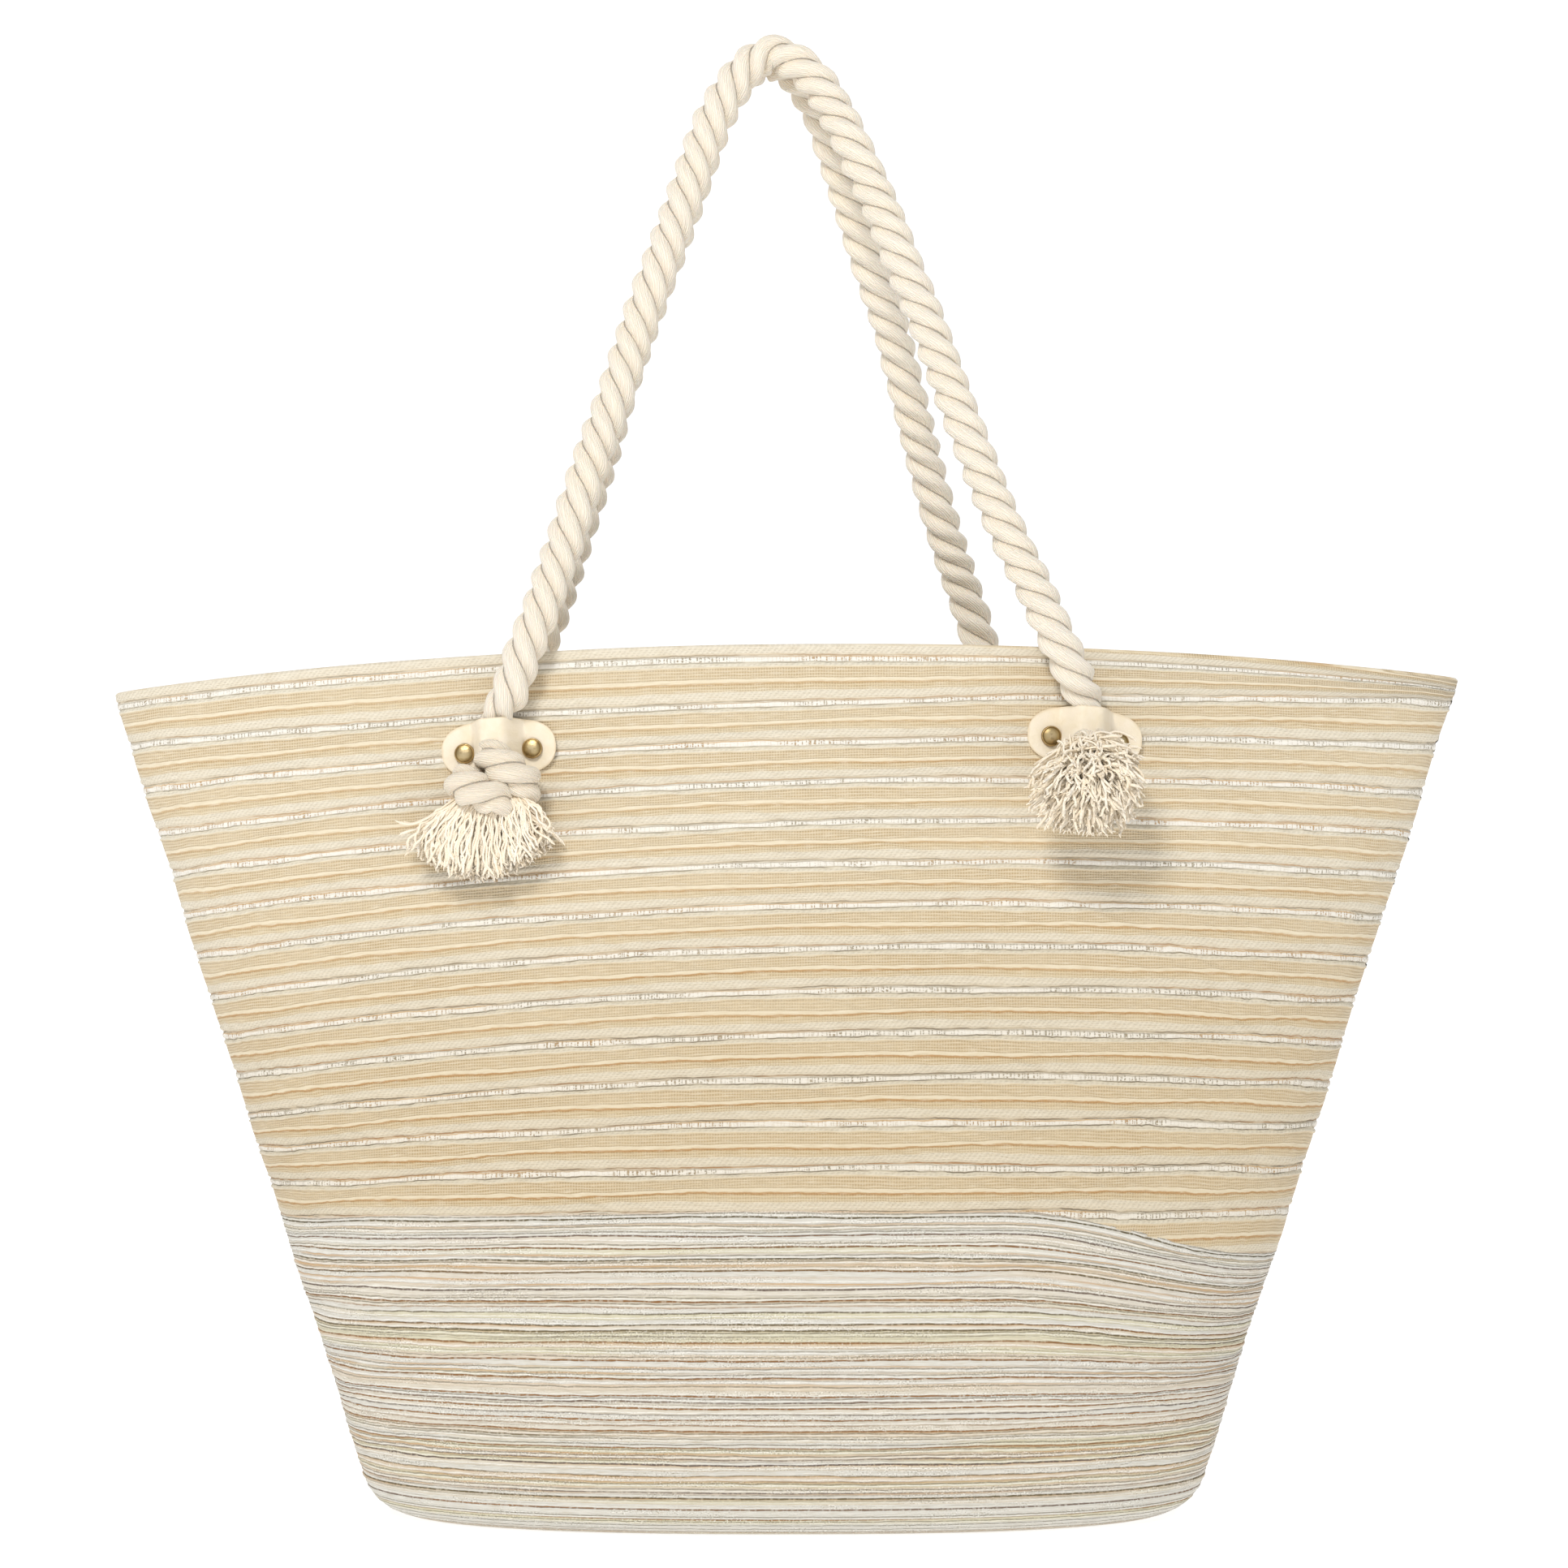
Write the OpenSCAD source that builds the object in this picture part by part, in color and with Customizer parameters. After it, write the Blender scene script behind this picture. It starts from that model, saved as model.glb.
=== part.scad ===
// Open-topped beach tote: a flared bag sewn from one long woven strip, with two
// thick rope handles. Each rope end runs down under a riveted leather patch, is
// knotted below it and frays into a tassel.
// Millimetres. The origin is the centre of the base on the floor, +Z is up,
// +X runs along the width and the front wall faces -Y.

/* [Bag body] */
// Height of the mouth's edge at the middle of the front
body_h = 340; // [336:1:344]
// Width of the base
base_w = 324; // [310:1:334]
// Depth of the base
base_d = 150; // [144:1:156]
// Width of the open mouth
mouth_w = 544; // [530:1:556]
// Depth of the open mouth
mouth_d = 96; // [92:1:100]
// How much lower the mouth's edge is at the two side corners
rim_sag = 15; // [5:1:20]
// How much the mouth's edge rises to the right of the middle
rim_skew = 3; // [0:0.5:5]
// Radius of the rounded bottom edge
bottom_r = 14; // [10:1:16]
// Thickness of the sewn strip
wall_t = 3; // [2:0.5:3]
// Height where the narrow rows end and the wide rows begin
band_h = 115; // [90:1:140]

/* [Lining] */
// Thickness of the lining cloth
lining_t = 1; // [0.8:0.1:1.2]
// Height of the woven facing inside the mouth
facing_h = 45; // [42:1:60]
// Thickness of the board in the base
board_t = 2; // [1.5:0.5:2]

/* [Rope] */
// Diameter of the twisted rope
rope_d = 14; // [12:0.5:14]
// Diameter of the rope where the patches squeeze it
tail_d = 12; // [11:0.5:12]
// Width of a knot
knot_w = 38; // [34:1:40]
// Thickness of a knot
knot_d = 24; // [20:1:24]

/* [Patches and rivets] */
// Width of a leather patch
patch_w = 44.6; // [42:0.2:46]
// Height of a leather patch
patch_h = 22; // [21:0.5:23]
// Thickness of the leather
leather_t = 1.8; // [1.4:0.1:2]
// Distance between the two rivets of a patch
rivet_gap = 26.5; // [26:0.1:28]
// Diameter of a rivet's domed cap
rivet_d = 7.8; // [7:0.1:8.2]

/* [Inside] */
// Length of the pocket's zip
zip_l = 150; // [140:2:160]
// Height of the zip above the floor
zip_z = 256; // [240:1:260]
// Diameter of the magnetic snap
snap_d = 18; // [16:1:20]

/* [Hidden] */

// Colours
straw_colour = "BurlyWood";
pale_straw_colour = "Wheat";
lining_colour = "AntiqueWhite";
board_colour = "DimGray";
rope_colour = "Linen";
leather_colour = "OldLace";
brass_colour = "DarkGoldenrod";
zip_colour = "Tan";

// The bag's cross-section has this many sides
columns = 64;
$fn = 48;
// Air left between two layers that lie on each other
gap = 0.6;

// Depth of each layer below the bag's outer surface
lining_in = wall_t + gap;
lining_deep = lining_in + lining_t;
facing_t = 1.4;
facing_deep = lining_in + facing_t;
pocket_t = 1.4;
pocket_in = lining_deep + 0.4;

// Where the four patches sit: [which side, x, z, roll in the wall's plane]
FRONT = 0;
BACK = 1;
front_left = [FRONT, -110, 300.5, -4.5];
front_right = [FRONT, 116, 305, 5.5];
back_left = [BACK, -112, 301, 4.5];
back_right = [BACK, 92, 303, -4.5];
PATCHES = [front_left, front_right, back_left, back_right];

// Heights on a patch, measured from its middle along the wall
patch_top = patch_h / 2;
notch_w = 17;
tail_end = 0;
rivet_v = -1;
// The rope's centre stands this far out of the wall
tail_n = tail_d / 2 + 0.3;
// The patch's flat wings stand this far out of the wall
patch_n = 0.3;

// A knot sits in front of the lower half of its patch
knot_v = -14;
knot_n = knot_d / 2 + 2.6;
// The tassel bends where the yarns leave the knot
bend_v = knot_v - knot_d / 2 - 3;
bend_n = 12;

// Routes of the two handles, from above the left patch over the top to above the
// right one. The first stretch out of each patch is left out, so that they can swing.
FRONT_ROUTE = [
  [-105.4, -54, 322.5], [-100, -54, 338], [-93, -52.5, 356], [-82, -47, 389],
  [-74, -42, 415], [-65, -37, 440], [-57, -32, 466], [-48, -27, 492],
  [-39, -21, 518], [-30, -15, 545], [-22, -11, 561], [-14, -9, 571],
  [-5, -8, 576], [5, -9, 572], [14, -11, 563], [21, -13, 551],
  [28, -17, 536], [36, -21, 518], [46, -27, 492], [56, -32, 466],
  [65, -37, 440], [74, -42, 415], [84, -47, 389], [97, -52, 361],
  [106, -54, 341], [112, -54, 328]
];
BACK_ROUTE = [
  [-107.7, 54, 323], [-102, 54, 340], [-94, 52, 361], [-84, 46, 392],
  [-75, 41, 420], [-67, 36, 447], [-58, 31, 473], [-48, 26, 499],
  [-38, 20, 525], [-29, 15, 550], [-22, 11, 563], [-15, 9, 572],
  [-7, 8, 576], [2, 9, 573], [10, 11, 564], [16, 14, 553],
  [24, 19, 530], [34, 26, 499], [43, 31, 473], [50, 36, 447],
  [57, 41, 420], [65, 46, 392], [75, 52, 363], [82, 54, 341],
  [87.3, 54, 326]
];

// ---- The bag's outer surface ------------------------------------------------

function sign_of(v) = v < 0 ? -1 : 1;

// The surface narrows towards the floor and its ends grow sharper towards the mouth
function half_width(z) = (base_w + (mouth_w - base_w) * z / body_h) / 2;
function half_depth(z) = (base_d + (mouth_d - base_d) * z / body_h) / 2;
function width_power(z) = 0.8 + 0.2 * z / body_h;
function depth_power(z) = 0.8 + 0.4 * z / body_h;

// The point at one turn around the bag, at one height, some way below the surface
function wall_point(turn, z, inset) = [
  (half_width(z) - inset) * sign_of(cos(turn)) * pow(abs(cos(turn)), width_power(z)),
  (half_depth(z) - inset) * sign_of(sin(turn)) * pow(abs(sin(turn)), depth_power(z)),
  z
];

// How far the mouth's edge lies below its highest point
function rim_drop(turn) = -rim_sag * pow(cos(turn), 2) + rim_skew * cos(turn);

// Distance of the surface from the middle plane, at a place on the front or back
function wall_depth(x, z, inset = 0) =
  let (across = abs(x) / (half_width(z) - inset))
  (half_depth(z) - inset)
    * pow(1 - pow(across, 2 / width_power(z)), depth_power(z) / 2);

// Slopes of the front wall at a place
function wall_yaw(x, z) = atan((wall_depth(x - 1, z) - wall_depth(x + 1, z)) / 2);
function wall_pitch(x, z) = -atan((wall_depth(x, z - 1) - wall_depth(x, z + 1)) / 2);

// Puts its children on the wall: X along the wall, -Y out of it and Z up it
module on_wall(place) {
  x = place[0] == FRONT ? place[1] : -place[1];
  z = place[2];
  rotate([0, 0, place[0] == FRONT ? 0 : 180])
    translate([x, -wall_depth(x, z), z])
      rotate([wall_pitch(x, z), 0, wall_yaw(x, z)])
        rotate([0, place[3], 0])
          children();
}

// ---- Building blocks --------------------------------------------------------

// A closed solid through a list of rings. Its two ends are either capped or
// joined to each other.
module loft(rings, is_loop) {
  n = len(rings[0]);
  m = len(rings);
  last = is_loop ? m - 1 : m - 2;
  sides = [
    for (i = [0 : last], j = [0 : n - 1])
      let (k = (i + 1) % m, l = (j + 1) % n)
      [i * n + j, k * n + j, k * n + l, i * n + l]
  ];
  first_cap = [for (j = [0 : n - 1]) j];
  last_cap = [for (j = [n - 1 : -1 : 0]) (m - 1) * n + j];
  polyhedron(
    points = [for (ring = rings, p = ring) p],
    faces = is_loop ? sides : concat([first_cap], sides, [last_cap]),
    convexity = 8
  );
}

// One ring of the bag's surface. A height is [z, 1 if it follows the mouth's edge]
function ring_at(height, inset) = [
  for (j = [0 : columns - 1])
    let (turn = 360 * j / columns)
    wall_point(turn, height[0] + height[1] * rim_drop(turn), inset)
];

function between(low, high, part) = low + (high - low) * part;

// A layer of the wall between two heights and two depths below the surface
module wall_layer(low, high, rows, outer, inner) {
  up = [for (i = [0 : rows]) ring_at(between(low, high, i / rows), outer)];
  down = [for (i = [rows : -1 : 0]) ring_at(between(low, high, i / rows), inner)];
  loft(concat(up, down), is_loop = true);
}

// A flat piece of the bag's cross-section
module floor_slab(z, thickness, inset) {
  translate([0, 0, z])
    linear_extrude(thickness)
      polygon([for (p = ring_at([z, 0], inset)) [p[0], p[1]]]);
}

// A cloth panel that follows the wall inside the bag, on the front or the back
module inner_panel(side, x_low, x_high, z_low, z_high, outer, inner) {
  steps = 10;
  face = side == FRONT ? -1 : 1;
  function row(z, inset, order) = [
    for (i = order)
      let (x = x_low + (x_high - x_low) * i / steps)
      [x, face * wall_depth(x, z, inset), z]
  ];
  there = [for (i = [0 : steps]) i];
  back_again = [for (i = [steps : -1 : 0]) i];
  first = side == FRONT ? there : back_again;
  second = side == FRONT ? back_again : there;
  middle = (z_low + z_high) / 2;
  loft([for (z = [z_low, middle, z_high])
    concat(row(z, outer, first), row(z, inner, second))], is_loop = false);
}

// A round tube swept along a route
module rope(route, diameter, sides) {
  last = len(route) - 1;
  rings = [
    for (i = [0 : last])
      let (
        ahead = route[min(i + 1, last)] - route[max(i - 1, 0)],
        along = ahead / norm(ahead),
        across = cross([0, 1, 0], along),
        one = across / norm(across),
        two = cross(along, one)
      )
      [for (j = [0 : sides - 1])
        let (turn = 360 * j / sides)
        route[i] + diameter / 2 * (cos(turn) * one + sin(turn) * two)]
  ];
  loft(rings, is_loop = false);
}

// ---- Bag body ---------------------------------------------------------------

module upper_wall() {
  color(pale_straw_colour)
    difference() {
      wall_layer([band_h, 0], [body_h, 1], 5, 0, wall_t);
      rivet_holes();
    }
}

module lower_wall() {
  color(straw_colour)
    wall_layer([bottom_r, 0], [band_h, 0], 3, 0, wall_t);
}

// The bottom rows turn under in a quarter round and close the base
module base_panel() {
  steps = 3;
  function corner_ring(i, radius) = ring_at(
    [bottom_r - radius * cos(90 * i / steps), 0],
    bottom_r - radius * sin(90 * i / steps)
  );
  color(straw_colour)
    loft(concat(
      [for (i = [0 : steps]) corner_ring(i, bottom_r)],
      [for (i = [steps : -1 : 0]) corner_ring(i, bottom_r - wall_t)]
    ), is_loop = false);
}

module base_board() {
  color(board_colour)
    floor_slab(wall_t + 0.3, board_t, bottom_r + 1);
}

// ---- Lining and pockets -----------------------------------------------------

lining_z = wall_t + board_t + gap;

module lining_wall() {
  color(lining_colour)
    wall_layer([bottom_r + 1, 0], [body_h - facing_h - 1, 1], 6, lining_in, lining_deep);
}

module lining_floor() {
  color(lining_colour)
    floor_slab(lining_z, lining_t, bottom_r + 1);
}

module inner_facing() {
  color(pale_straw_colour)
    difference() {
      wall_layer([body_h - facing_h, 1], [body_h - 1, 1], 2, lining_in, facing_deep);
      rivet_holes();
    }
}

module slip_pocket() {
  color(lining_colour)
    inner_panel(FRONT, -85, 85, 130, 250, pocket_in, pocket_in + pocket_t);
}

zip_place = [BACK, 0, zip_z, 0];
tape_h = 9;
tape_t = 0.6;
tape_n = -(lining_deep + 3);
teeth_w = 3;

module zip_pocket_bag() {
  color(lining_colour)
    inner_panel(BACK, -80, 80, 120, zip_z - tape_h - 4, pocket_in, pocket_in + pocket_t);
}

// One of the zip's two cloth tapes, above or below its teeth
module zip_tape(direction) {
  color(zip_colour)
    on_wall(zip_place)
      translate([-zip_l / 2, -tape_n, direction > 0 ? teeth_w / 2 : -teeth_w / 2 - tape_h])
        cube([zip_l, tape_t, tape_h]);
}

module zip_tape_upper() {
  zip_tape(1);
}

module zip_tape_lower() {
  zip_tape(-1);
}

stop_l = 3;
slider_l = 10;
slider_h = 7;
slider_t = 2.2;
slider_x = zip_l / 2 - 12;
// The slider's back face, its front face and the pivot of the pull, all in
// front of the tapes
slider_back = -tape_n + tape_t + 0.9;
slider_front = slider_back + slider_t;
pivot_y = slider_front + 1.5;
pivot_r = 0.5;
pull_w = 5.8;
pull_l = 22;
pull_t = 1.2;

// The closed row of teeth runs from the far stop to the slider
module zip_teeth() {
  pitch = 3;
  tooth = 1.6;
  start = -zip_l / 2 + stop_l + 2;
  count = floor((slider_x - slider_l / 2 - tooth - start) / pitch);
  color(brass_colour)
    on_wall(zip_place)
      for (i = [0 : count])
        translate([start + i * pitch, -tape_n - 0.5, -teeth_w / 2 + 0.1])
          cube([tooth, tape_t + 1, teeth_w - 0.2]);
}

module zip_stops() {
  color(brass_colour)
    on_wall(zip_place)
      for (x = [-zip_l / 2 + 1, zip_l / 2 - 1 - stop_l])
        translate([x, -tape_n - 0.4, -teeth_w / 2 + 0.1])
          cube([stop_l, tape_t + 0.8, teeth_w - 0.2]);
}

// The slider waits at the closed end, in front of both tapes. Two lugs on it
// hold the pin of the pull.
module zip_slider() {
  lug_t = 1;
  lug_x = pull_w / 2 + 0.2;
  color(brass_colour)
    on_wall(zip_place)
      translate([slider_x, 0, 0]) {
        translate([-slider_l / 2, slider_back, -slider_h / 2])
          cube([slider_l, slider_t, slider_h]);
        for (x = [-lug_x - lug_t, lug_x])
          translate([x, slider_front - 0.1, -1.2])
            cube([lug_t, pivot_y + 1.1 - slider_front, 2.4]);
        translate([-lug_x - 0.1, pivot_y, 0])
          rotate([0, 90, 0])
            cylinder(h = 2 * lug_x + 0.2, r = pivot_r);
      }
}

// The pull hangs from its pin and has a hole for a fingertip's cord
module zip_pull() {
  barrel_r = 1.1;
  color(brass_colour)
    on_wall(zip_place)
      translate([slider_x, pivot_y, 0])
        difference() {
          union() {
            rotate([0, 90, 0]) cylinder(h = pull_w, r = barrel_r, center = true);
            translate([-pull_w / 2, -pull_t / 2, -pull_l]) cube([pull_w, pull_t, pull_l]);
          }
          rotate([0, 90, 0]) cylinder(h = pull_w + 1, r = pivot_r + 0.05, center = true);
          translate([0, 0, -pull_l + 3.5])
            rotate([90, 0, 0])
              cylinder(h = 4, r = 1.5, center = true);
        }
}

// ---- Magnetic snap ----------------------------------------------------------

snap_z = body_h - 18;
socket_t = 3;
stud_t = 2.2;
stud_r = 3;

// The half with the socket, inside the front of the mouth
module snap_socket_half() {
  color(brass_colour)
    on_wall([FRONT, 0, snap_z, 0])
      translate([0, facing_deep + 0.4, 0])
        rotate([-90, 0, 0])
          difference() {
            cylinder(h = socket_t, d = snap_d);
            translate([0, 0, 1]) cylinder(h = socket_t, r = stud_r + 0.3);
          }
}

// The half with the stud, inside the back of the mouth
module snap_stud_half() {
  color(brass_colour)
    on_wall([BACK, 0, snap_z, 0])
      translate([0, facing_deep + 0.4, 0])
        rotate([-90, 0, 0]) {
          cylinder(h = stud_t, d = snap_d);
          cylinder(h = stud_t + 1.8, r = stud_r);
        }
}

// ---- Patches and rivets -----------------------------------------------------

post_r = 1.4;
hole_r = post_r + 0.1;
cap_n = patch_n + leather_t + 0.1;
pad_n = -(facing_deep + 0.2);
pad_t = 1;
back_n = pad_n - pad_t - 0.1;

// Puts its children at the two rivets of a patch, with Z pointing out of the wall
module at_rivets(place) {
  on_wall(place)
    for (u = [-rivet_gap / 2, rivet_gap / 2])
      translate([u, 0, rivet_v])
        rotate([90, 0, 0])
          children();
}

module rivet_holes() {
  for (place = PATCHES)
    at_rivets(place)
      translate([0, 0, -12]) cylinder(h = 20, r = hole_r);
}

// Outline of a patch: three arcs, and a notch where the rope leaves it
module patch_outline() {
  arc_r = 55;
  difference() {
    intersection() {
      translate([0, patch_top - arc_r]) circle(r = arc_r, $fn = 96);
      translate([0, arc_r - patch_top]) circle(r = arc_r, $fn = 96);
      circle(r = patch_w / 2, $fn = 96);
    }
    translate([-notch_w / 2, -patch_h]) square([notch_w, patch_h + tail_end]);
  }
}

// Across the rope the leather is flat, arched over the rope and flat again
module patch_profile() {
  tunnel_r = tail_d / 2 + 0.3;
  difference() {
    union() {
      translate([-patch_w / 2, patch_n]) square([patch_w, leather_t]);
      translate([0, tail_n]) circle(r = tunnel_r + leather_t);
    }
    translate([0, tail_n]) circle(r = tunnel_r);
    translate([-tunnel_r, -tail_d]) square([2 * tunnel_r, tail_d + tail_n]);
    translate([-patch_w, -patch_h + patch_n]) square([2 * patch_w, patch_h]);
  }
}

module patch(place) {
  color(leather_colour)
    difference() {
      on_wall(place)
        intersection() {
          translate([0, 0, -patch_h])
            linear_extrude(2 * patch_h)
              mirror([0, 1]) patch_profile();
          rotate([90, 0, 0])
            linear_extrude(2 * tail_d)
              patch_outline();
        }
      at_rivets(place) cylinder(h = 10, r = hole_r);
    }
}

module front_left_patch() {
  patch(front_left);
}

module front_right_patch() {
  patch(front_right);
}

module back_left_patch() {
  patch(back_left);
}

module back_right_patch() {
  patch(back_right);
}

// A domed cap forged in one piece with the post that goes through the wall
module rivet_caps() {
  cap_h = 2;
  cap_r = rivet_d / 2;
  dome_r = (cap_r * cap_r + cap_h * cap_h) / (2 * cap_h);
  color(brass_colour)
    for (place = PATCHES)
      at_rivets(place) {
        intersection() {
          translate([0, 0, cap_n + cap_h - dome_r]) sphere(r = dome_r);
          translate([0, 0, cap_n]) cylinder(h = cap_h + 1, r = cap_r);
        }
        translate([0, 0, back_n - 1]) cylinder(h = cap_n - back_n + 1.2, r = post_r);
      }
}

// The inner half of each rivet takes the end of the post
module rivet_backs() {
  color(brass_colour)
    for (place = PATCHES)
      at_rivets(place)
        difference() {
          translate([0, 0, back_n - 2]) cylinder(h = 2, r = 4.5);
          translate([0, 0, back_n - 1.2]) cylinder(h = 2, r = post_r + 0.05);
        }
}

// A strip of webbing spreads the pull of each pair of rivets over the facing
module backing_pads() {
  color(lining_colour)
    for (place = PATCHES)
      difference() {
        on_wall(place)
          translate([-patch_w / 2 + 3, -pad_n, -8])
            cube([patch_w - 6, pad_t, 14]);
        at_rivets(place)
          translate([0, 0, -12]) cylinder(h = 12, r = hole_r);
      }
}

// ---- Rope ends --------------------------------------------------------------

// The stretch of rope that lies squeezed under a patch
module tail(place) {
  color(rope_colour)
    on_wall(place)
      translate([0, -tail_n, 0]) {
        cylinder(h = patch_top, d = tail_d);
        translate([0, 0, patch_top]) sphere(d = tail_d);
      }
}

module front_left_tail() {
  tail(front_left);
}

module front_right_tail() {
  tail(front_right);
}

module back_left_tail() {
  tail(back_left);
}

module back_right_tail() {
  tail(back_right);
}

// The knot is a fat barrel that lies across the rope
module knot(place) {
  edge_r = 8;
  color(rope_colour)
    on_wall(place)
      translate([0, -knot_n, knot_v])
        rotate([0, 90, 0])
          rotate_extrude()
            intersection() {
              union() {
                square([knot_d, knot_w - 2 * edge_r], center = true);
                square([knot_d - 2 * edge_r, knot_w], center = true);
                for (v = [-1, 1])
                  translate([knot_d / 2 - edge_r, v * (knot_w / 2 - edge_r)])
                    circle(r = edge_r);
              }
              translate([0, -knot_w]) square([knot_d, 2 * knot_w]);
            }
}

module front_left_knot() {
  knot(front_left);
}

module front_right_knot() {
  knot(front_right);
}

module back_left_knot() {
  knot(back_left);
}

module back_right_knot() {
  knot(back_right);
}

tassel_l = 21;
tassel_top = 9;

// A tassel that hangs: a fan of yarns that lies on the wall
module hanging_tassel(place, shift) {
  top = bend_v - 1.5;
  low = top - tassel_l;
  color(rope_colour)
    on_wall(place)
      intersection() {
        rotate([90, 0, 0])
          linear_extrude(2 * knot_d)
            polygon([
              [-tassel_top, top], [tassel_top, top],
              [shift + 26, low + 6], [shift + 19, low + 1],
              [shift, low - 2], [shift - 19, low + 1], [shift - 26, low + 6]
            ]);
        rotate([90, 0, 90])
          linear_extrude(4 * knot_w, center = true)
            polygon([
              [-bend_n - 2, top + 1], [-bend_n + 2, top + 1],
              [-3, low], [-3, low - 3], [-17, low - 3], [-17, low]
            ]);
      }
}

// A tassel that is flipped up: its yarns spray forwards in front of the knot
module flipped_tassel(place) {
  spray_r = 22;
  spray_v = -15;
  color(rope_colour)
    on_wall(place)
      translate([0, -knot_n - knot_d / 2 - 0.5, spray_v])
        rotate([90, 0, 0])
          intersection() {
            translate([0, 0, -4]) sphere(r = spray_r + 0.4);
            cylinder(h = 18, r = spray_r);
          }
}

module front_left_tassel() {
  hanging_tassel(front_left, -7);
}

module front_right_tassel() {
  flipped_tassel(front_right);
}

module back_left_tassel() {
  hanging_tassel(back_left, 3);
}

module back_right_tassel() {
  hanging_tassel(back_right, -3);
}

// ---- Handles ----------------------------------------------------------------

module front_handle() {
  color(rope_colour) rope(FRONT_ROUTE, rope_d, 10);
}

module back_handle() {
  color(rope_colour) rope(BACK_ROUTE, rope_d, 10);
}

// ---- The pieces -------------------------------------------------------------

upper_wall();
lower_wall();
base_panel();
base_board();
lining_wall();
lining_floor();
inner_facing();
slip_pocket();
zip_pocket_bag();
zip_tape_upper();
zip_tape_lower();
zip_teeth();
zip_stops();
zip_slider();
zip_pull();
snap_socket_half();
snap_stud_half();
front_left_patch();
front_right_patch();
back_left_patch();
back_right_patch();
rivet_caps();
rivet_backs();
backing_pads();
front_left_tail();
front_right_tail();
back_left_tail();
back_right_tail();
front_left_knot();
front_right_knot();
back_left_knot();
back_right_knot();
front_left_tassel();
front_right_tassel();
back_left_tassel();
back_right_tassel();
front_handle();
back_handle();
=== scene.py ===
"""Looks of the open-topped beach tote: woven walls, twisted rope handles, patches, knots, tassels."""

import math

import bpy
import numpy as np
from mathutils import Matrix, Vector


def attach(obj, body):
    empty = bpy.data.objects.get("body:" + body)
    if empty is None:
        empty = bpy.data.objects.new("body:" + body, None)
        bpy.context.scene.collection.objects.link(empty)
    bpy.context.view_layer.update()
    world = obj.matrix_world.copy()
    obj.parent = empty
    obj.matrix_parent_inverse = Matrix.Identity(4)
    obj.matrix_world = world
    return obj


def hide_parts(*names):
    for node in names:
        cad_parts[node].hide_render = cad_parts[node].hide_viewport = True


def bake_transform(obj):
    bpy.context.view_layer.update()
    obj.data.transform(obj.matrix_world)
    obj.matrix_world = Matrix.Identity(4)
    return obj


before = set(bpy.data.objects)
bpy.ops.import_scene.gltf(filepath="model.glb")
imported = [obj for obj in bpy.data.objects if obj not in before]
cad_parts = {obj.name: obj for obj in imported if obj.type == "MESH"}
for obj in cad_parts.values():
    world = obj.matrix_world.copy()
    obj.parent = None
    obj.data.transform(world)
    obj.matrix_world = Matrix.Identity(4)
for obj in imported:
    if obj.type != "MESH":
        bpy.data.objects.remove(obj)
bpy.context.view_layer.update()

# All shapes below are worked out in millimetres and stored in metres.
MM = 0.001

# ---- Camera, floor and lights ----------------------------------------------------

# The camera stands level in front of the bag. Distances in metres, the lens in millimetres.
CAMERA_DISTANCE = 1.600
CAMERA_HEIGHT = 0.287
CAMERA_LENS = 92.31


def add_camera():
    data = bpy.data.cameras.new("camera")
    data.lens = CAMERA_LENS
    data.sensor_width = 36.0
    data.clip_end = 100.0
    camera = bpy.data.objects.new("camera", data)
    camera.location = (0.0, -CAMERA_DISTANCE, CAMERA_HEIGHT)
    camera.rotation_euler = (math.radians(90), 0.0, 0.0)
    bpy.context.collection.objects.link(camera)
    bpy.context.scene.camera = camera


def add_light(name, place, size, power, colour=(1.0, 1.0, 1.0)):
    """A square soft light that faces the middle of the bag."""
    data = bpy.data.lights.new(name, "AREA")
    data.size = size
    data.energy = power
    data.color = colour
    light = bpy.data.objects.new(name, data)
    light.location = place
    towards = Vector((0.0, 0.0, 0.25)) - Vector(place)
    light.rotation_euler = towards.to_track_quat("-Z", "Y").to_euler()
    bpy.context.collection.objects.link(light)


def add_lights():
    add_light("key_light", (-0.6, -2.0, 1.9), size=0.6, power=36.0, colour=(1.0, 0.985, 0.965))
    add_light("fill_light", (1.6, -1.7, 0.8), size=1.6, power=2.0)
    world = bpy.data.worlds.new("studio")
    world.use_nodes = True
    background = world.node_tree.nodes["Background"]
    background.inputs["Color"].default_value = (1.0, 1.0, 1.0, 1.0)
    background.inputs["Strength"].default_value = 0.5
    bpy.context.scene.world = world
    bpy.context.scene.view_settings.view_transform = "Standard"


add_camera()
add_lights()

# ---- Helpers for numbers ----------------------------------------------------------


def smooth(value):
    """Rises smoothly from 0 to 1 while value goes from 0 to 1."""
    value = np.clip(value, 0.0, 1.0)
    return value * value * (3.0 - 2.0 * value)


def wander(place, seed, size):
    """A smooth wobble along place, between about -1 and 1, with bumps about size long."""
    rng = np.random.default_rng(seed)
    total = 0.0
    for _ in range(4):
        speed = rng.uniform(0.45, 1.3) / size
        total = total + np.sin(2.0 * np.pi * (place * speed + rng.random()))
    return total / 2.5


def unit(vectors):
    """Vectors of length 1 in the same directions."""
    return vectors / np.maximum(np.linalg.norm(vectors, axis=-1, keepdims=True), 1e-9)


def distance_along(path):
    """How far each point of a path is from its start, measured along it."""
    return np.concatenate([[0.0], np.cumsum(np.linalg.norm(np.diff(path, axis=0), axis=1))])


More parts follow.
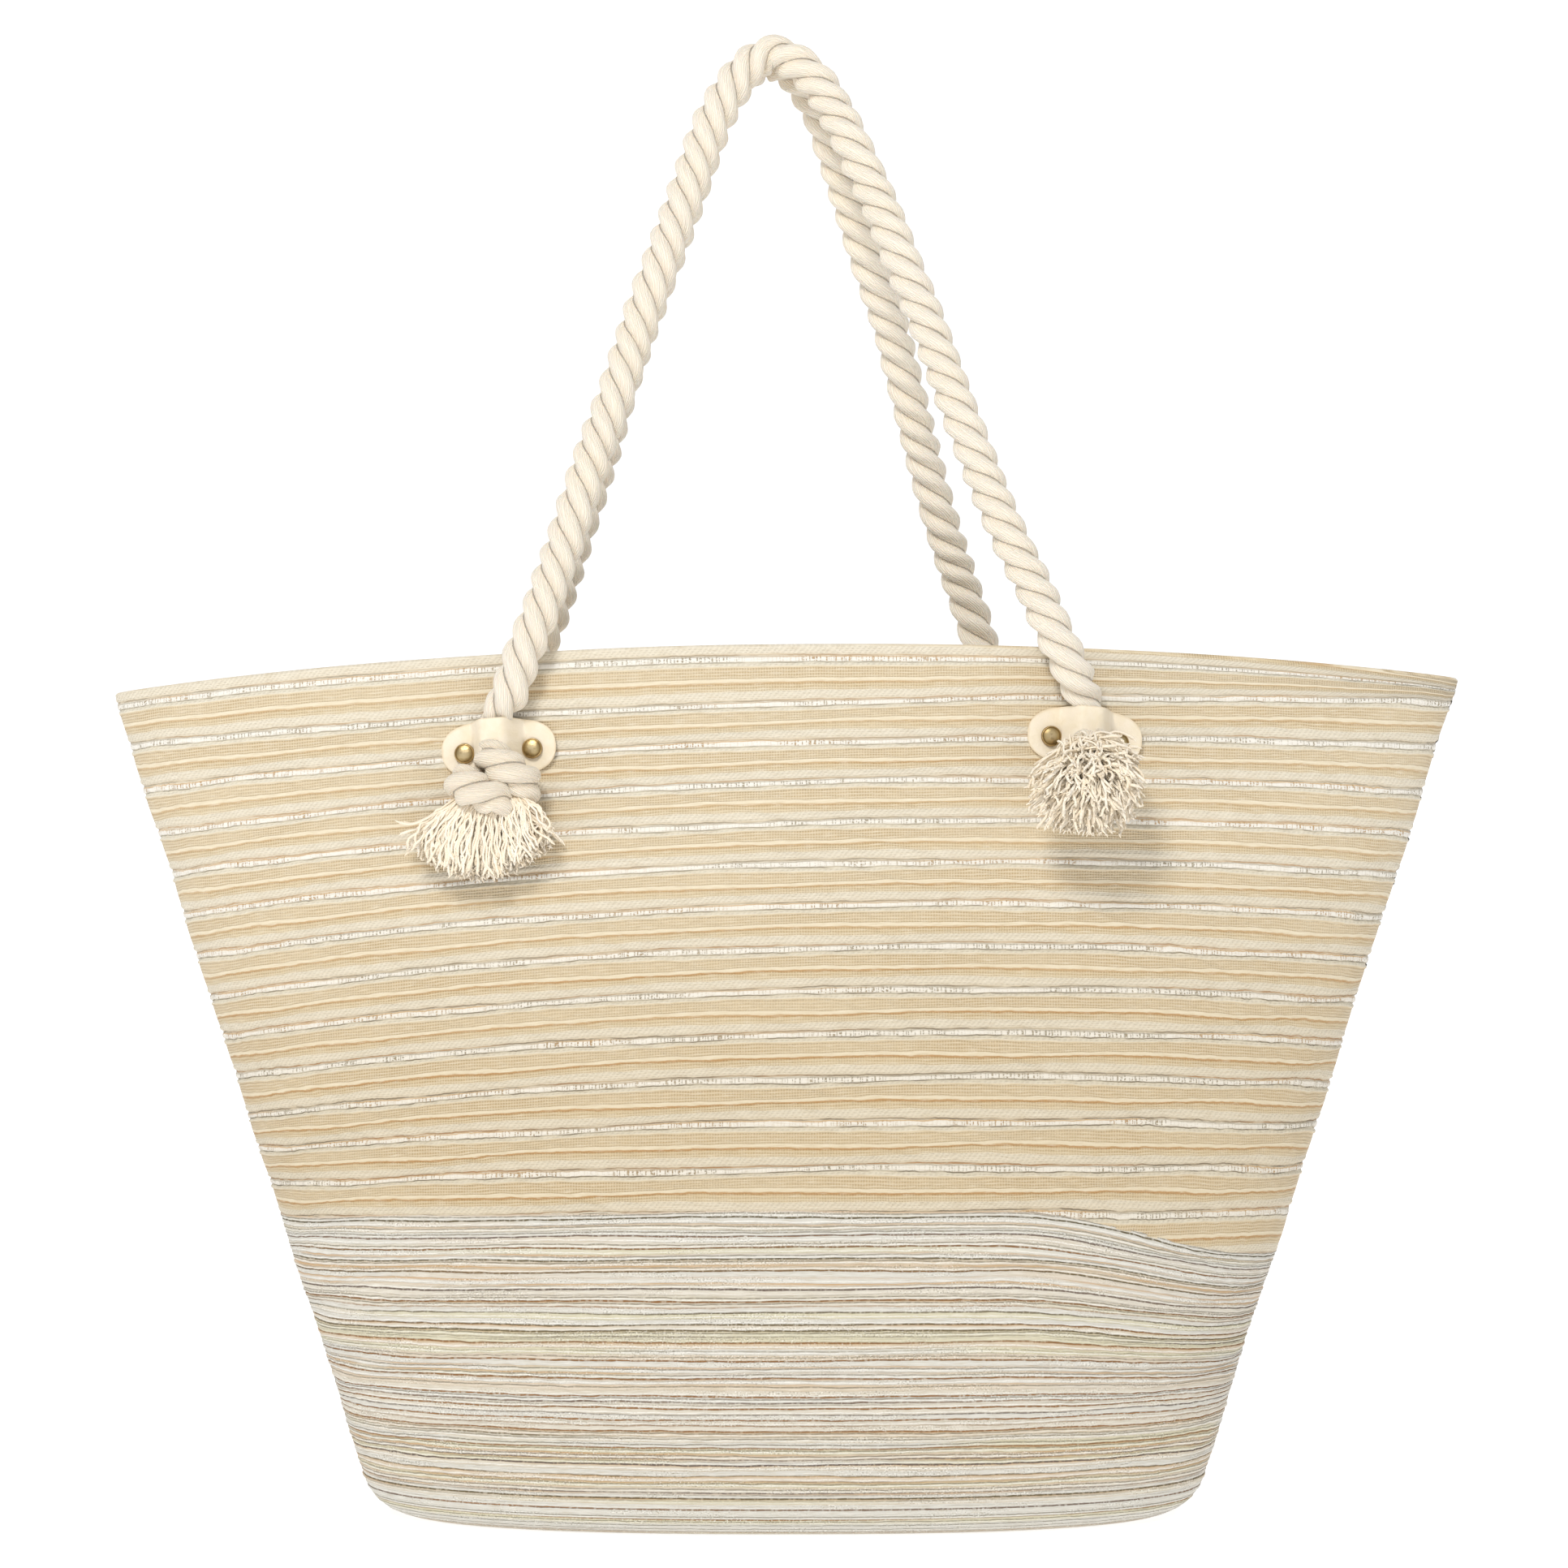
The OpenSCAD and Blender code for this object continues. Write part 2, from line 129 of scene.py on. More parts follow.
def even_path(points, step):
    """A smooth curve through the points, as points about one step apart."""
    points = np.asarray(points, float)
    padded = np.vstack([2 * points[0] - points[1], points, 2 * points[-1] - points[-2]])
    fine = []
    for i in range(1, len(padded) - 2):
        before, start, end, after = padded[i - 1 : i + 3]
        for t in np.linspace(0.0, 1.0, 16, endpoint=False):
            fine.append(0.5 * (
                2 * start + (end - before) * t
                + (2 * before - 5 * start + 4 * end - after) * t**2
                + (3 * start - before - 3 * end + after) * t**3
            ))
    fine = np.array(fine + [points[-1]])
    run = distance_along(fine)
    count = max(4, int(round(run[-1] / step)) + 1)
    places = np.linspace(0.0, run[-1], count)
    return np.stack([np.interp(places, run, fine[:, k]) for k in range(3)], axis=1)


def carried_frames(path):
    """Two directions across a path at each point, carried along it without twist."""
    along = unit(np.gradient(path, axis=0))
    first = np.cross([0.0, 1.0, 0.0], along[0])
    if np.linalg.norm(first) < 0.1:
        first = np.cross([1.0, 0.0, 0.0], along[0])
    one = [unit(first)]
    for direction in along[1:]:
        previous = one[-1]
        one.append(unit(previous - direction * np.dot(previous, direction)))
    one = np.array(one)
    return one, np.cross(along, one)


# ---- Helpers for meshes -----------------------------------------------------------


def grid_points(x, y, z):
    """One grid of points out of three coordinates that may each lack rows or columns."""
    return np.stack(np.broadcast_arrays(x, y, z), axis=-1)


def ring_points(path, angle, reach):
    """Points round a path, at an angle and a distance from it."""
    one, two = carried_frames(path)
    return path[:, None, :] + reach[..., None] * (
        np.cos(angle)[..., None] * one[:, None, :] + np.sin(angle)[..., None] * two[:, None, :])


def grid_faces(rows, columns, closed_rows=False, closed_columns=False, start=0, inward=False):
    """Four-sided faces between the points of a grid that is stored row by row."""
    i = np.arange(rows if closed_rows else rows - 1)
    j = np.arange(columns if closed_columns else columns - 1)
    i, j = np.meshgrid(i, j, indexing="ij")
    below = (i + 1) % rows
    right = (j + 1) % columns
    faces = np.stack([
        i * columns + j, below * columns + j, below * columns + right, i * columns + right
    ], axis=-1)
    if inward:
        faces = faces[..., ::-1]
    return (faces.reshape(-1, 4) + start).tolist()


def end_cap(rows, columns):
    """One face that closes the last ring of a tube."""
    return [(rows - 1) * columns + j for j in range(columns)]


def add_mesh(name, points, faces, numbers=None):
    """A smooth-shaded mesh object. numbers holds one named value for each point."""
    mesh = bpy.data.meshes.new(name)
    mesh.from_pydata((np.asarray(points) * MM).tolist(), [], faces)
    mesh.polygons.foreach_set("use_smooth", [True] * len(mesh.polygons))
    for key, values in (numbers or {}).items():
        attribute = mesh.attributes.new(key, "FLOAT", "POINT")
        attribute.data.foreach_set("value", np.asarray(values, np.float32).ravel())
    mesh.update()
    obj = bpy.data.objects.new(name, mesh)
    bpy.context.collection.objects.link(obj)
    return obj


def finish_piece(obj, material, nodes, body="root"):
    """Gives a piece its material and its place in the frame, and hides the CAD nodes that it stands
    for.
    """
    obj.data.materials.append(material)
    if body:
        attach(obj, body)
    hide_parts(*nodes)
    return obj


def thicken(obj, thickness, offset=-1.0):
    """Adds a thickness in millimetres, inwards unless offset moves it."""
    solid = obj.modifiers.new("thickness", "SOLIDIFY")
    solid.thickness = thickness * MM
    solid.offset = offset


def apply_modifiers(obj):
    """Turns an object's modifiers into plain mesh."""
    graph = bpy.context.evaluated_depsgraph_get()
    done = bpy.data.meshes.new_from_object(obj.evaluated_get(graph))
    obj.modifiers.clear()
    obj.data = done
    return obj


# ---- Helpers for materials ----------------------------------------------------------


def colour(red, green, blue):
    """A colour given as it looks on screen, from 0 to 255, in the linear values Blender uses."""
    return tuple(((c / 255.0 + 0.055) / 1.055) ** 2.4 for c in (red, green, blue)) + (1.0,)


class Value:
    """A number, vector or colour that a material's nodes work out, so that it can be used in sums."""

    def __init__(self, shader, socket):
        self.shader = shader
        self.socket = socket

    def __add__(self, other):
        return self.shader.math("ADD", self, other)

    def __sub__(self, other):
        return self.shader.math("SUBTRACT", self, other)

    def __rsub__(self, other):
        return self.shader.math("SUBTRACT", other, self)

    def __mul__(self, other):
        return self.shader.math("MULTIPLY", self, other)

    def times_plus(self, factor, rest):
        return self.shader.math("MULTIPLY_ADD", self, factor, rest)


class Shader:
    """Builds one material out of nodes."""

    def __init__(self, name, roughness, metallic=0.0, sheen=0.0, soft=0.0):
        self.material = bpy.data.materials.new(name)
        self.material.use_nodes = True
        self.tree = self.material.node_tree
        self.surface = self.tree.nodes["Principled BSDF"]
        settings = {
            "Roughness": roughness, "Metallic": metallic, "Sheen Weight": sheen,
            "Sheen Roughness": 0.5, "Specular IOR Level": 0.3, "Subsurface Weight": soft,
            "Subsurface Radius": (1.0, 0.8, 0.6), "Subsurface Scale": 2.0 * MM,
        }
        for socket, value in settings.items():
            self.surface.inputs[socket].default_value = value

    def put(self, socket, value):
        if isinstance(value, Value):
            self.tree.links.new(value.socket, socket)
        elif value is not None:
            socket.default_value = value

    def node(self, kind, output=0, settings=None, **inputs):
        """Adds a node, with its settings and inputs, and gives the value of one output."""
        node = self.tree.nodes.new(kind)
        for name, value in (settings or {}).items():
            setattr(node, name, value)
        for name, value in inputs.items():
            self.put(node.inputs[name.replace("_", " ")], value)
        return Value(self, node.outputs[output])

    def number(self, name):
        """A value that the mesh stores at each point."""
        return self.node("ShaderNodeAttribute", "Fac", {"attribute_name": name})

    def place(self):
        """The place on the piece at rest, in millimetres."""
        at_rest = self.node("ShaderNodeTexCoord", "Object")
        return self.node("ShaderNodeVectorMath", 0, {"operation": "SCALE"}, Vector=at_rest,
                         Scale=1 / MM)

    def math(self, operation, a, b=None, c=None):
        node = self.tree.nodes.new("ShaderNodeMath")
        node.operation = operation
        for socket, value in zip(node.inputs, (a, b, c)):
            self.put(socket, value)
        return Value(self, node.outputs[0])

    def rescale(self, value, low, high, to_low=0.0, to_high=1.0):
        """Maps low..high to to_low..to_high with soft ends."""
        return self.node("ShaderNodeMapRange", "Result", {"interpolation_type": "SMOOTHSTEP"},
                         Value=value, From_Min=low, From_Max=high, To_Min=to_low, To_Max=to_high)

    def vector(self, x, y, z):
        return self.node("ShaderNodeCombineXYZ", X=x, Y=y, Z=z)

    def separate(self, vector):
        node = self.node("ShaderNodeSeparateXYZ", Vector=vector).socket.node
        return [Value(self, socket) for socket in node.outputs]

    def noise(self, vector, scale=1.0, detail=2.0, roughness=0.5):
        return self.node("ShaderNodeTexNoise", "Fac", Vector=vector, Scale=scale, Detail=detail,
                         Roughness=roughness)

    def random(self, value):
        """One random number from 0 to 1 for each whole value."""
        return self.node("ShaderNodeTexWhiteNoise", "Value", {"noise_dimensions": "1D"}, W=value)

    def ramp(self, value, stops):
        """Colours that follow a value from one stop to the next."""
        shades = self.node("ShaderNodeValToRGB", "Color", Fac=value)
        points = shades.socket.node.color_ramp.elements
        while len(points) < len(stops):
            points.new(1.0)
        for point, (position, shade) in zip(points, stops):
            point.position = position
            point.color = shade
        return shades

    def mix(self, factor, a, b, blend="MIX"):
        node = self.tree.nodes.new("ShaderNodeMix")
        node.data_type = "RGBA"
        node.blend_type = blend
        self.put(node.inputs["Factor"], factor)
        self.put(node.inputs[6], a)
        self.put(node.inputs[7], b)
        return Value(self, node.outputs[2])

    def bump(self, height, distance):
        """Adds relief, where height 0..1 stands for distance in millimetres."""
        normal = self.node("ShaderNodeBump", Height=height, Strength=1.0, Distance=distance * MM)
        self.put(self.surface.inputs["Normal"], normal)

    def paint(self, shade):
        self.put(self.surface.inputs["Base Color"], shade)
        return self.material


# ---- The bag's surface ---------------------------------------------------------------

# The CAD model's own sizes: the body, the rim's curve, the rounded bottom and the layers inside
BODY_H = 340.0
BASE_W = 324.0
BASE_D = 150.0
MOUTH_W = 544.0
MOUTH_D = 96.0
RIM_SAG = 15.0
RIM_SKEW = 3.0
BOTTOM_R = 14.0
WALL_T = 3.0
FACING_H = 45.0
LINING_IN = 3.6
LINING_DEEP = 4.6


def half_width(z):
    """Half the bag's width at a height."""
    return (BASE_W + (MOUTH_W - BASE_W) * z / BODY_H) / 2


def half_depth(z):
    """Half the bag's depth, from front to back, at a height."""
    return (BASE_D + (MOUTH_D - BASE_D) * z / BODY_H) / 2


def surface_point(turn, z, inset=0.0):
    """Points at a turn round the bag, at a height, some way below the surface."""
    across = np.cos(turn)
    deep = np.sin(turn)
    width_power = 0.8 + 0.2 * z / BODY_H
    depth_power = 0.8 + 0.4 * z / BODY_H
    x = (half_width(z) - inset) * np.sign(across) * np.abs(across) ** width_power
    y = (half_depth(z) - inset) * np.sign(deep) * np.abs(deep) ** depth_power
    return grid_points(x, y, z)


def rim_height(turn):
    """Height of the mouth's edge, which sags towards the two side corners."""
    return BODY_H - RIM_SAG * np.cos(turn) ** 2 + RIM_SKEW * np.cos(turn)


def wall_depth(x, z, inset=0.0):
    """Distance of the front or back wall from the middle plane."""
    across = np.abs(x) / (half_width(z) - inset)
    width_power = 0.8 + 0.2 * z / BODY_H
    depth_power = 0.8 + 0.4 * z / BODY_H
    return (half_depth(z) - inset) * (1 - across ** (2 / width_power)) ** (depth_power / 2)


def even_turns(columns, z=230.0):
    """Turns from the right corner round the back and the front that are evenly far apart."""
    turn = np.linspace(0.0, 2 * np.pi, 4001)
    points = surface_point(turn, z)
    run = distance_along(points)
    return np.interp(np.linspace(0.0, run[-1], columns), run, turn)


FRONT_MIDDLE = 1.5 * np.pi
# The bag's mean radius, which turns an angle into a rough distance round it
MEAN_RADIUS = 180.0
# How far the woven surface lies inside the CAD's, so that its cords end about level with it
SINK = 0.2


def run_from_front(points, turns):
    """Distance along each ring of points from the middle of the front, in millimetres."""
    steps = np.linalg.norm(np.diff(points, axis=1), axis=2)
    run = np.concatenate([np.zeros((len(points), 1)), np.cumsum(steps, axis=1)], axis=1)
    middle = int(np.argmin(np.abs(turns - FRONT_MIDDLE)))
    return run - run[:, middle : middle + 1]


def strip_mesh(name, points, rows, run, turns, inward=False):
    """A mesh of sewn strip. Each point keeps its row, its distance along and its turn round the bag."""
    turn_part = np.broadcast_to(1 - turns / (2 * np.pi), run.shape)
    return add_mesh(name, points.reshape(-1, 3), grid_faces(*run.shape, inward=inward),
                    {"row": rows, "run": run, "turn": turn_part})


def push_out(points, amount):
    """Moves a grid of points out of the bag by an amount for each point."""
    across = np.gradient(points, axis=1)
    upward = -np.gradient(points, axis=0)
    normal = unit(np.cross(across, upward))
    return points + normal * amount[..., None]


# ---- The sewn rows ------------------------------------------------------------------
# The strip is wound from the mouth down. Rows are numbered from the mouth, and a row's
# fraction runs from 0 at its shiny ribbon to 1 at the next one.

WIDE_ROWS = 13
# Height of a usual wide row, and how far below the rim the first ribbon is
ROW_PITCH = 15.5
FIRST_RIBBON = 3.4
# The narrow cords end up level at this height, after this many of them
LEVEL_Z = 47.0
CORDS_ABOVE_LEVEL = 34
CORD_PITCH = 2.1


def row_middle(row):
    """Height of a row's top line at the middle of the front."""
    step = row - 1.0
    return 319.1 - 15.1 * step - 0.1 * step**2


def row_sag(row):
    """How much lower a row is at the corners than at the middle of the front."""
    return np.interp(row, [0, 1, 3, 7, 10, 13], [14.0, 7.5, 12.0, 14.0, 12.0, 5.0])


def row_slope(row):
    """How much a row rises from the middle of the front to the right corner."""
    return np.interp(row, [0, 1, 7, 10, 13], [8.6, 8.6, 7.5, 6.4, 1.5])


def row_line(row, turn):
    """Height of a row's top line all the way round. It drops by one row in one turn."""
    side = np.cos(turn)
    sag = row_sag(row)
    front = row_middle(row) - sag * side**2 + row_slope(row) * side
    left_end = row_middle(row) - sag - row_slope(row)
    right_end = row_middle(row + 1) - row_sag(row + 1) + row_slope(row + 1)
    part = (1 + side) / 2
    back = (1 - part) * left_end + part * right_end + sag * (1 - side**2)
    return np.where(np.sin(turn) < 0, front, back)


def row_wobble(run, row):
    """The slight unevenness of the sewing, in millimetres up or down."""
    return 0.5 * wander(run + 90.0 * row, 11, 70.0) + 0.16 * wander(run - 40.0 * row, 12, 11.0)


def wide_end(turn):
    """The row coordinate where the wide rows stop. The last one tapers off on the front."""
    front = np.sin(turn) < 0
    lens = np.where(front, smooth((np.cos(turn) - 0.36) / 0.62), 0.0)
    return WIDE_ROWS + lens


# Where each cord of a wide row begins and ends, as fractions of the row, and how high it stands
WIDE_CORDS = [
    (0.00, 0.14, 0.45), (0.18, 0.27, 0.50), (0.50, 0.57, 0.04), (0.755, 0.82, 0.08),
    (0.82, 0.94, 0.42),
]
# The fractions of a wide row that get a ring of points, closer together on its cords
WIDE_STEPS = [
    0.0, 0.025, 0.07, 0.115, 0.14, 0.16, 0.18, 0.205, 0.245, 0.27, 0.32, 0.44, 0.50, 0.535,
    0.57, 0.65, 0.75, 0.785, 0.82, 0.85, 0.88, 0.91, 0.94, 0.97,
]


def wide_relief(row, run):
    """How far the cords of the wide rows stand out, in millimetres."""
    part = row - np.floor(row)
    height = np.zeros(np.broadcast(row, run).shape)
    for start, end, rise in WIDE_CORDS:
        across = (part - start) / (end - start) * 2 - 1
        swell = 1 + 0.25 * wander(run + 37 * np.floor(row), int(start * 100) + 3, 9.0)
        height += rise * swell * np.sqrt(np.clip(1 - across**2, 0, 1))
    height -= 0.30 * np.exp(-(((part - 0.16) / 0.02) ** 2))
    height -= 0.30 * np.exp(-(((part - 0.975) / 0.02) ** 2))
    return height + 0.55 * np.sin(np.pi * part) ** 0.7


def slow_waves(points):
    """Soft hollows and swells of the stiff cloth, in millimetres."""
    x, y, z = points[..., 0], points[..., 1], points[..., 2]
    return 0.55 * wander(x + 0.6 * z, 21, 120.0) + 0.35 * wander(z - 0.4 * x + y, 22, 60.0)


def make_upper_wall():
    """The wide rows, from under the fold of the mouth down to the narrow rows."""
    columns = 338
    turns = even_turns(columns)
    rim = rim_height(turns)
    middle_run = (turns - FRONT_MIDDLE) * MEAN_RADIUS
    heights = []
    rows = []
    first_line = row_line(1, turns)
    for part in np.linspace(0.0, 1.0, 27):
        z = rim - part * (rim - first_line)
        heights.append(z + part * row_wobble(middle_run, 1))
        rows.append((rim - z - FIRST_RIBBON) / (rim - first_line - FIRST_RIBBON))
    for row in range(1, WIDE_ROWS):
        for step in WIDE_STEPS[(1 if row == 1 else 0):]:
            low, high = row_line(row + 1, turns), row_line(row, turns)
            wobble = row_wobble(middle_run, row + step)
            heights.append(high + (low - high) * step + wobble)
            rows.append(np.full(columns, row + step))
    last = wide_end(turns)
    for part in np.linspace(0.0, 1.0, 12):
        row = WIDE_ROWS + (last - WIDE_ROWS) * part
        z = row_line(WIDE_ROWS, turns)
        z = z + (row_line(WIDE_ROWS + 1, turns) - z) * (row - WIDE_ROWS) - 0.4 * part
        heights.append(z + row_wobble(middle_run, WIDE_ROWS))
        rows.append(row)
    heights, rows = np.array(heights), np.array(rows)
    points = surface_point(turns, heights)
    run = run_from_front(points, turns)
    edge_fade = smooth((rim - heights) / 4.0)
    points = push_out(points, wide_relief(rows, run) * edge_fade + slow_waves(points) - SINK)
    fold_points, fold_rows = rim_fold(points[0], rows[0])
    points = np.concatenate([fold_points, points])
    rows = np.concatenate([fold_rows, rows])
    run = np.concatenate([np.repeat(run[:1], len(fold_points), axis=0), run])
    return strip_mesh("woven_upper_wall", points, rows, run, turns)


def rim_fold(edge, edge_rows):
    """The strip's end folds over the mouth's edge and goes down inside."""
    across = np.gradient(edge, axis=0)
    inward = unit(np.stack([-across[:, 1], across[:, 0], np.zeros(len(edge))], axis=1))
    points = []
    radius = WALL_T / 2
    for down in (7.0, 3.5, 1.2):
        points.append(edge + inward * WALL_T - [0.0, 0.0, down])
    for angle in np.radians([0, 35, 70, 110, 150]):
        points.append(edge + inward * radius * (1 + math.cos(angle))
                      + [0.0, 0.0, radius * math.sin(angle) - 0.3])
    points = np.array(points)
    away = np.linspace(0.04, 0.01, len(points))
    return points, edge_rows - away[:, None]


def cord_sizes(index):
    """A height for each narrow cord, different from cord to cord."""
    rng = np.random.default_rng(5)
    table = rng.uniform(0.25, 0.62, 400)
    return table[np.mod(index.astype(int), 400)]


def cord_relief(cord, run):
    """How far the narrow cords stand out, in millimetres."""
    part = cord - np.floor(cord)
    rise = cord_sizes(np.floor(cord)) * (1 + 0.3 * wander(run + 53 * np.floor(cord), 31, 14.0))
    return rise * np.sqrt(np.clip(1 - (2 * part - 1) ** 2, 0, 1))


def make_lower_wall():
    """The narrow cords below the wide rows."""
    columns = 372
    turns = even_turns(columns)
    last = wide_end(turns)
    top = row_line(WIDE_ROWS, turns)
    top = top + (row_line(WIDE_ROWS + 1, turns) - top) * (last - WIDE_ROWS) + 0.3
    middle_run = (turns - FRONT_MIDDLE) * MEAN_RADIUS
    below_level = (LEVEL_Z - BOTTOM_R) / CORD_PITCH
    cords = np.arange(0.0, CORDS_ABOVE_LEVEL + below_level + 0.01, 0.2)
    heights = []
    for cord in cords:
        level = min(cord / CORDS_ABOVE_LEVEL, 1.0)
        z = top + (LEVEL_Z - top) * level - max(cord - CORDS_ABOVE_LEVEL, 0.0) * CORD_PITCH
        wobble = row_wobble(middle_run, 14 + cord / 7) * min(1.0, (z.min() - BOTTOM_R) / 8 + 0.05)
        heights.append(z + 0.7 * wobble)
    heights = np.array(heights)
    heights[-1] = BOTTOM_R
    points = surface_point(turns, heights)
    run = run_from_front(points, turns)
    cord_grid = np.broadcast_to(cords[:, None], run.shape)
    waves = slow_waves(points) * smooth((heights - BOTTOM_R) / 30.0)
    points = push_out(points, cord_relief(cord_grid, run) + waves - SINK)
    return strip_mesh("woven_lower_wall", points, cord_grid, run, turns)


def make_base():
    """The cords turn under in a quarter round and close the bottom in flat rings."""
    columns = 372
    turns = even_turns(columns)
    steps_round = 48
    rings = []
    for i in range(steps_round + 1):
        angle = 0.5 * math.pi * i / steps_round
        z = BOTTOM_R * (1 - math.sin(angle))
        rings.append((z, BOTTOM_R * (1 - math.cos(angle)), BOTTOM_R * angle))
    flat_step = 0.5
    reach = BOTTOM_R + flat_step
    while reach < BASE_D / 2 - 1.0:
        rings.append((0.0, reach, BOTTOM_R * math.pi / 2 + reach - BOTTOM_R))
        reach += flat_step
    rings = np.array(rings)
    points = surface_point(turns, rings[:, :1], rings[:, 1:2])
    run = run_from_front(points, turns)
    first_cord = CORDS_ABOVE_LEVEL + (LEVEL_Z - BOTTOM_R) / CORD_PITCH
    cord_grid = np.broadcast_to(first_cord + rings[:, 2:3] / CORD_PITCH, run.shape)
    relief = cord_relief(cord_grid, run) * smooth(rings[:, 0] / 6.0)[:, None]
    flat = 0.35 * (1 - smooth(rings[:, 0] / 6.0))[:, None] * (
        1 - np.sqrt(np.clip(1 - (2 * (cord_grid % 1.0) - 1) ** 2, 0, 1)))
    points = push_out(points, relief - SINK * smooth(rings[:, 0] / 6.0)[:, None])
    points[..., 2] = np.maximum(points[..., 2], 0.0) + flat
    return strip_mesh("woven_base", points, cord_grid, run, turns)


# ---- Inside of the bag -----------------------------------------------------------------

ZIP_Z = 256.0
# Each pocket's left, right, bottom and top
SLIP_POCKET = (-85, 85, 130, 250)
ZIP_POCKET = (-80, 80, 120, 243)


def make_facing():
    """A woven band that lines the top of the mouth."""
    columns = 240
    turns = even_turns(columns)
    rim = rim_height(turns)
    down = np.concatenate([[1.5], np.linspace(2.5, FACING_H - 1.0, 58), [FACING_H]])
    heights = rim - down[:, None]
    inset = np.full(len(down), LINING_IN + 1.3)
    inset[[0, -1]] = LINING_IN + 0.1
    points = surface_point(turns, heights, inset[:, None])
    run = run_from_front(points, turns)
    rows = np.broadcast_to(3.4 + down[:, None] / ROW_PITCH, run.shape)
    points = push_out(points, -0.6 * wide_relief(rows, run))
    return strip_mesh("woven_facing", points, rows, run, turns, inward=True)


def make_lining_wall():
    """Plain cloth from the facing to the floor, a little loose and creased."""
    columns = 260
    turns = even_turns(columns)
    top = rim_height(turns) - FACING_H - 1.0
    bottom = BOTTOM_R + 1.5
    heights = top + (bottom - top) * np.linspace(0.0, 1.0, 110)[:, None]
    points = surface_point(turns, heights, LINING_DEEP)
    run = run_from_front(points, turns)
    x, z = points[..., 0], points[..., 2]
    crease = 0.8 * wander(run + 0.8 * z, 41, 46.0) + 0.5 * wander(z - 0.3 * x, 42, 30.0)
    hang = smooth((top - z) / 25.0) * smooth((z - bottom) / 15.0)
    beside_pockets = 1 - smooth((z - 118) / 10) * smooth((262 - z) / 8) * smooth((96 - np.abs(x)) / 8)
    points = push_out(points, (crease - 1.0) * hang * beside_pockets)
    faces = grid_faces(*run.shape, inward=True)
    obj = add_mesh("lining_cloth_wall", points.reshape(-1, 3), faces, {"run": run})
    thicken(obj, 0.8)
    return apply_modifiers(obj)


def make_lining_floor():
    """The lining's floor, with a soft puff over the board."""
    columns = 180
    turns = even_turns(columns, z=20.0)
    insets = np.concatenate([[BOTTOM_R + 1.2, BOTTOM_R + 1.2], np.arange(17.0, 74.0, 1.5)])
    points = surface_point(turns, 6.0, insets[:, None])
    puff = 0.7 * smooth((insets - 17.0) / 10.0)[:, None]
    x, y = points[..., 0], points[..., 1]
    points[..., 2] += puff * (0.8 + 0.5 * wander(x + 0.7 * y, 43, 38.0))
    points[0, :, 2] = 5.3
    faces = grid_faces(len(points), columns, inward=True)
    return add_mesh("lining_cloth_floor", points.reshape(-1, 3), faces)


def make_pocket(name, side, x_low, x_high, z_low, z_high, seed):
    """A flat cloth pocket with a hem along its top and a slight belly."""
    wide, tall = 64, 48
    x = np.linspace(x_low, x_high, wide)[None, :]
    z = np.linspace(z_high, z_low, tall)[:, None]
    across = (x - x_low) / (x_high - x_low)
    up = (z - z_low) / (z_high - z_low)
    belly = 1.6 * np.sin(np.pi * across) * smooth(up * 2.0) * (0.7 + 0.4 * up)
    belly = belly + 0.35 * wander(x + 0.8 * z, seed, 30.0)
    hem = 0.7 * smooth((up - 0.9) / 0.02)
    inset = 5.6 + np.maximum(belly, 0.0) + hem
    y = side * wall_depth(x, z, inset)
    points = grid_points(x, y, z)
    faces = grid_faces(tall, wide, inward=side < 0)
    obj = add_mesh(name, points.reshape(-1, 3), faces, {"run": points[..., 0]})
    thicken(obj, 0.9)
    return apply_modifiers(obj)


def make_zip_tape(name, direction):
    """One woven edge tape of the pocket's zip, with a thicker bead next to the teeth."""
    wide, tall = 120, 12
    length, height, thickness = 150.0, 9.0, 0.55
    deep = 7.6
    tape_gap = 1.5
    run = np.linspace(-length / 2, length / 2, wide)[None, :]
    up = np.linspace(0.0, 1.0, tall)[:, None]
    bead = 0.25 * np.exp(-((up / 0.12) ** 2))
    ripple = 0.08 * wander(run, 51 + direction, 12.0) * up
    z = ZIP_Z + direction * (tape_gap + up * height)
    slope = (wall_depth(0.0, ZIP_Z + 1) - wall_depth(0.0, ZIP_Z - 1)) / 2
    wall = wall_depth(0.0, ZIP_Z) + slope * (z - ZIP_Z)
    outer = grid_points(run, wall - (deep - bead + ripple), z)
    inner = grid_points(run, wall - (deep + thickness + bead + ripple), z)
    grid = np.concatenate([outer, inner[::-1]])
    return add_mesh(name, grid.reshape(-1, 3), grid_faces(len(grid), wide, closed_rows=True))


# ---- Places on the wall --------------------------------------------------------------

FRONT, BACK = 0, 1
PLACES = {
    "front_left": (FRONT, -110.0, 300.5, -4.5),
    "front_right": (FRONT, 116.0, 305.0, 5.5),
    "back_left": (BACK, -112.0, 301.0, 4.5),
    "back_right": (BACK, 92.0, 303.0, -4.5),
}


def turn_about(axis, angle):
    """The 3x3 matrix of a turn about X (0), Y (1) or Z (2)."""
    c, s = math.cos(angle), math.sin(angle)
    a, b = [(1, 2), (2, 0), (0, 1)][axis]
    matrix = np.eye(3)
    matrix[a, a] = matrix[b, b] = c
    matrix[a, b], matrix[b, a] = -s, s
    return matrix


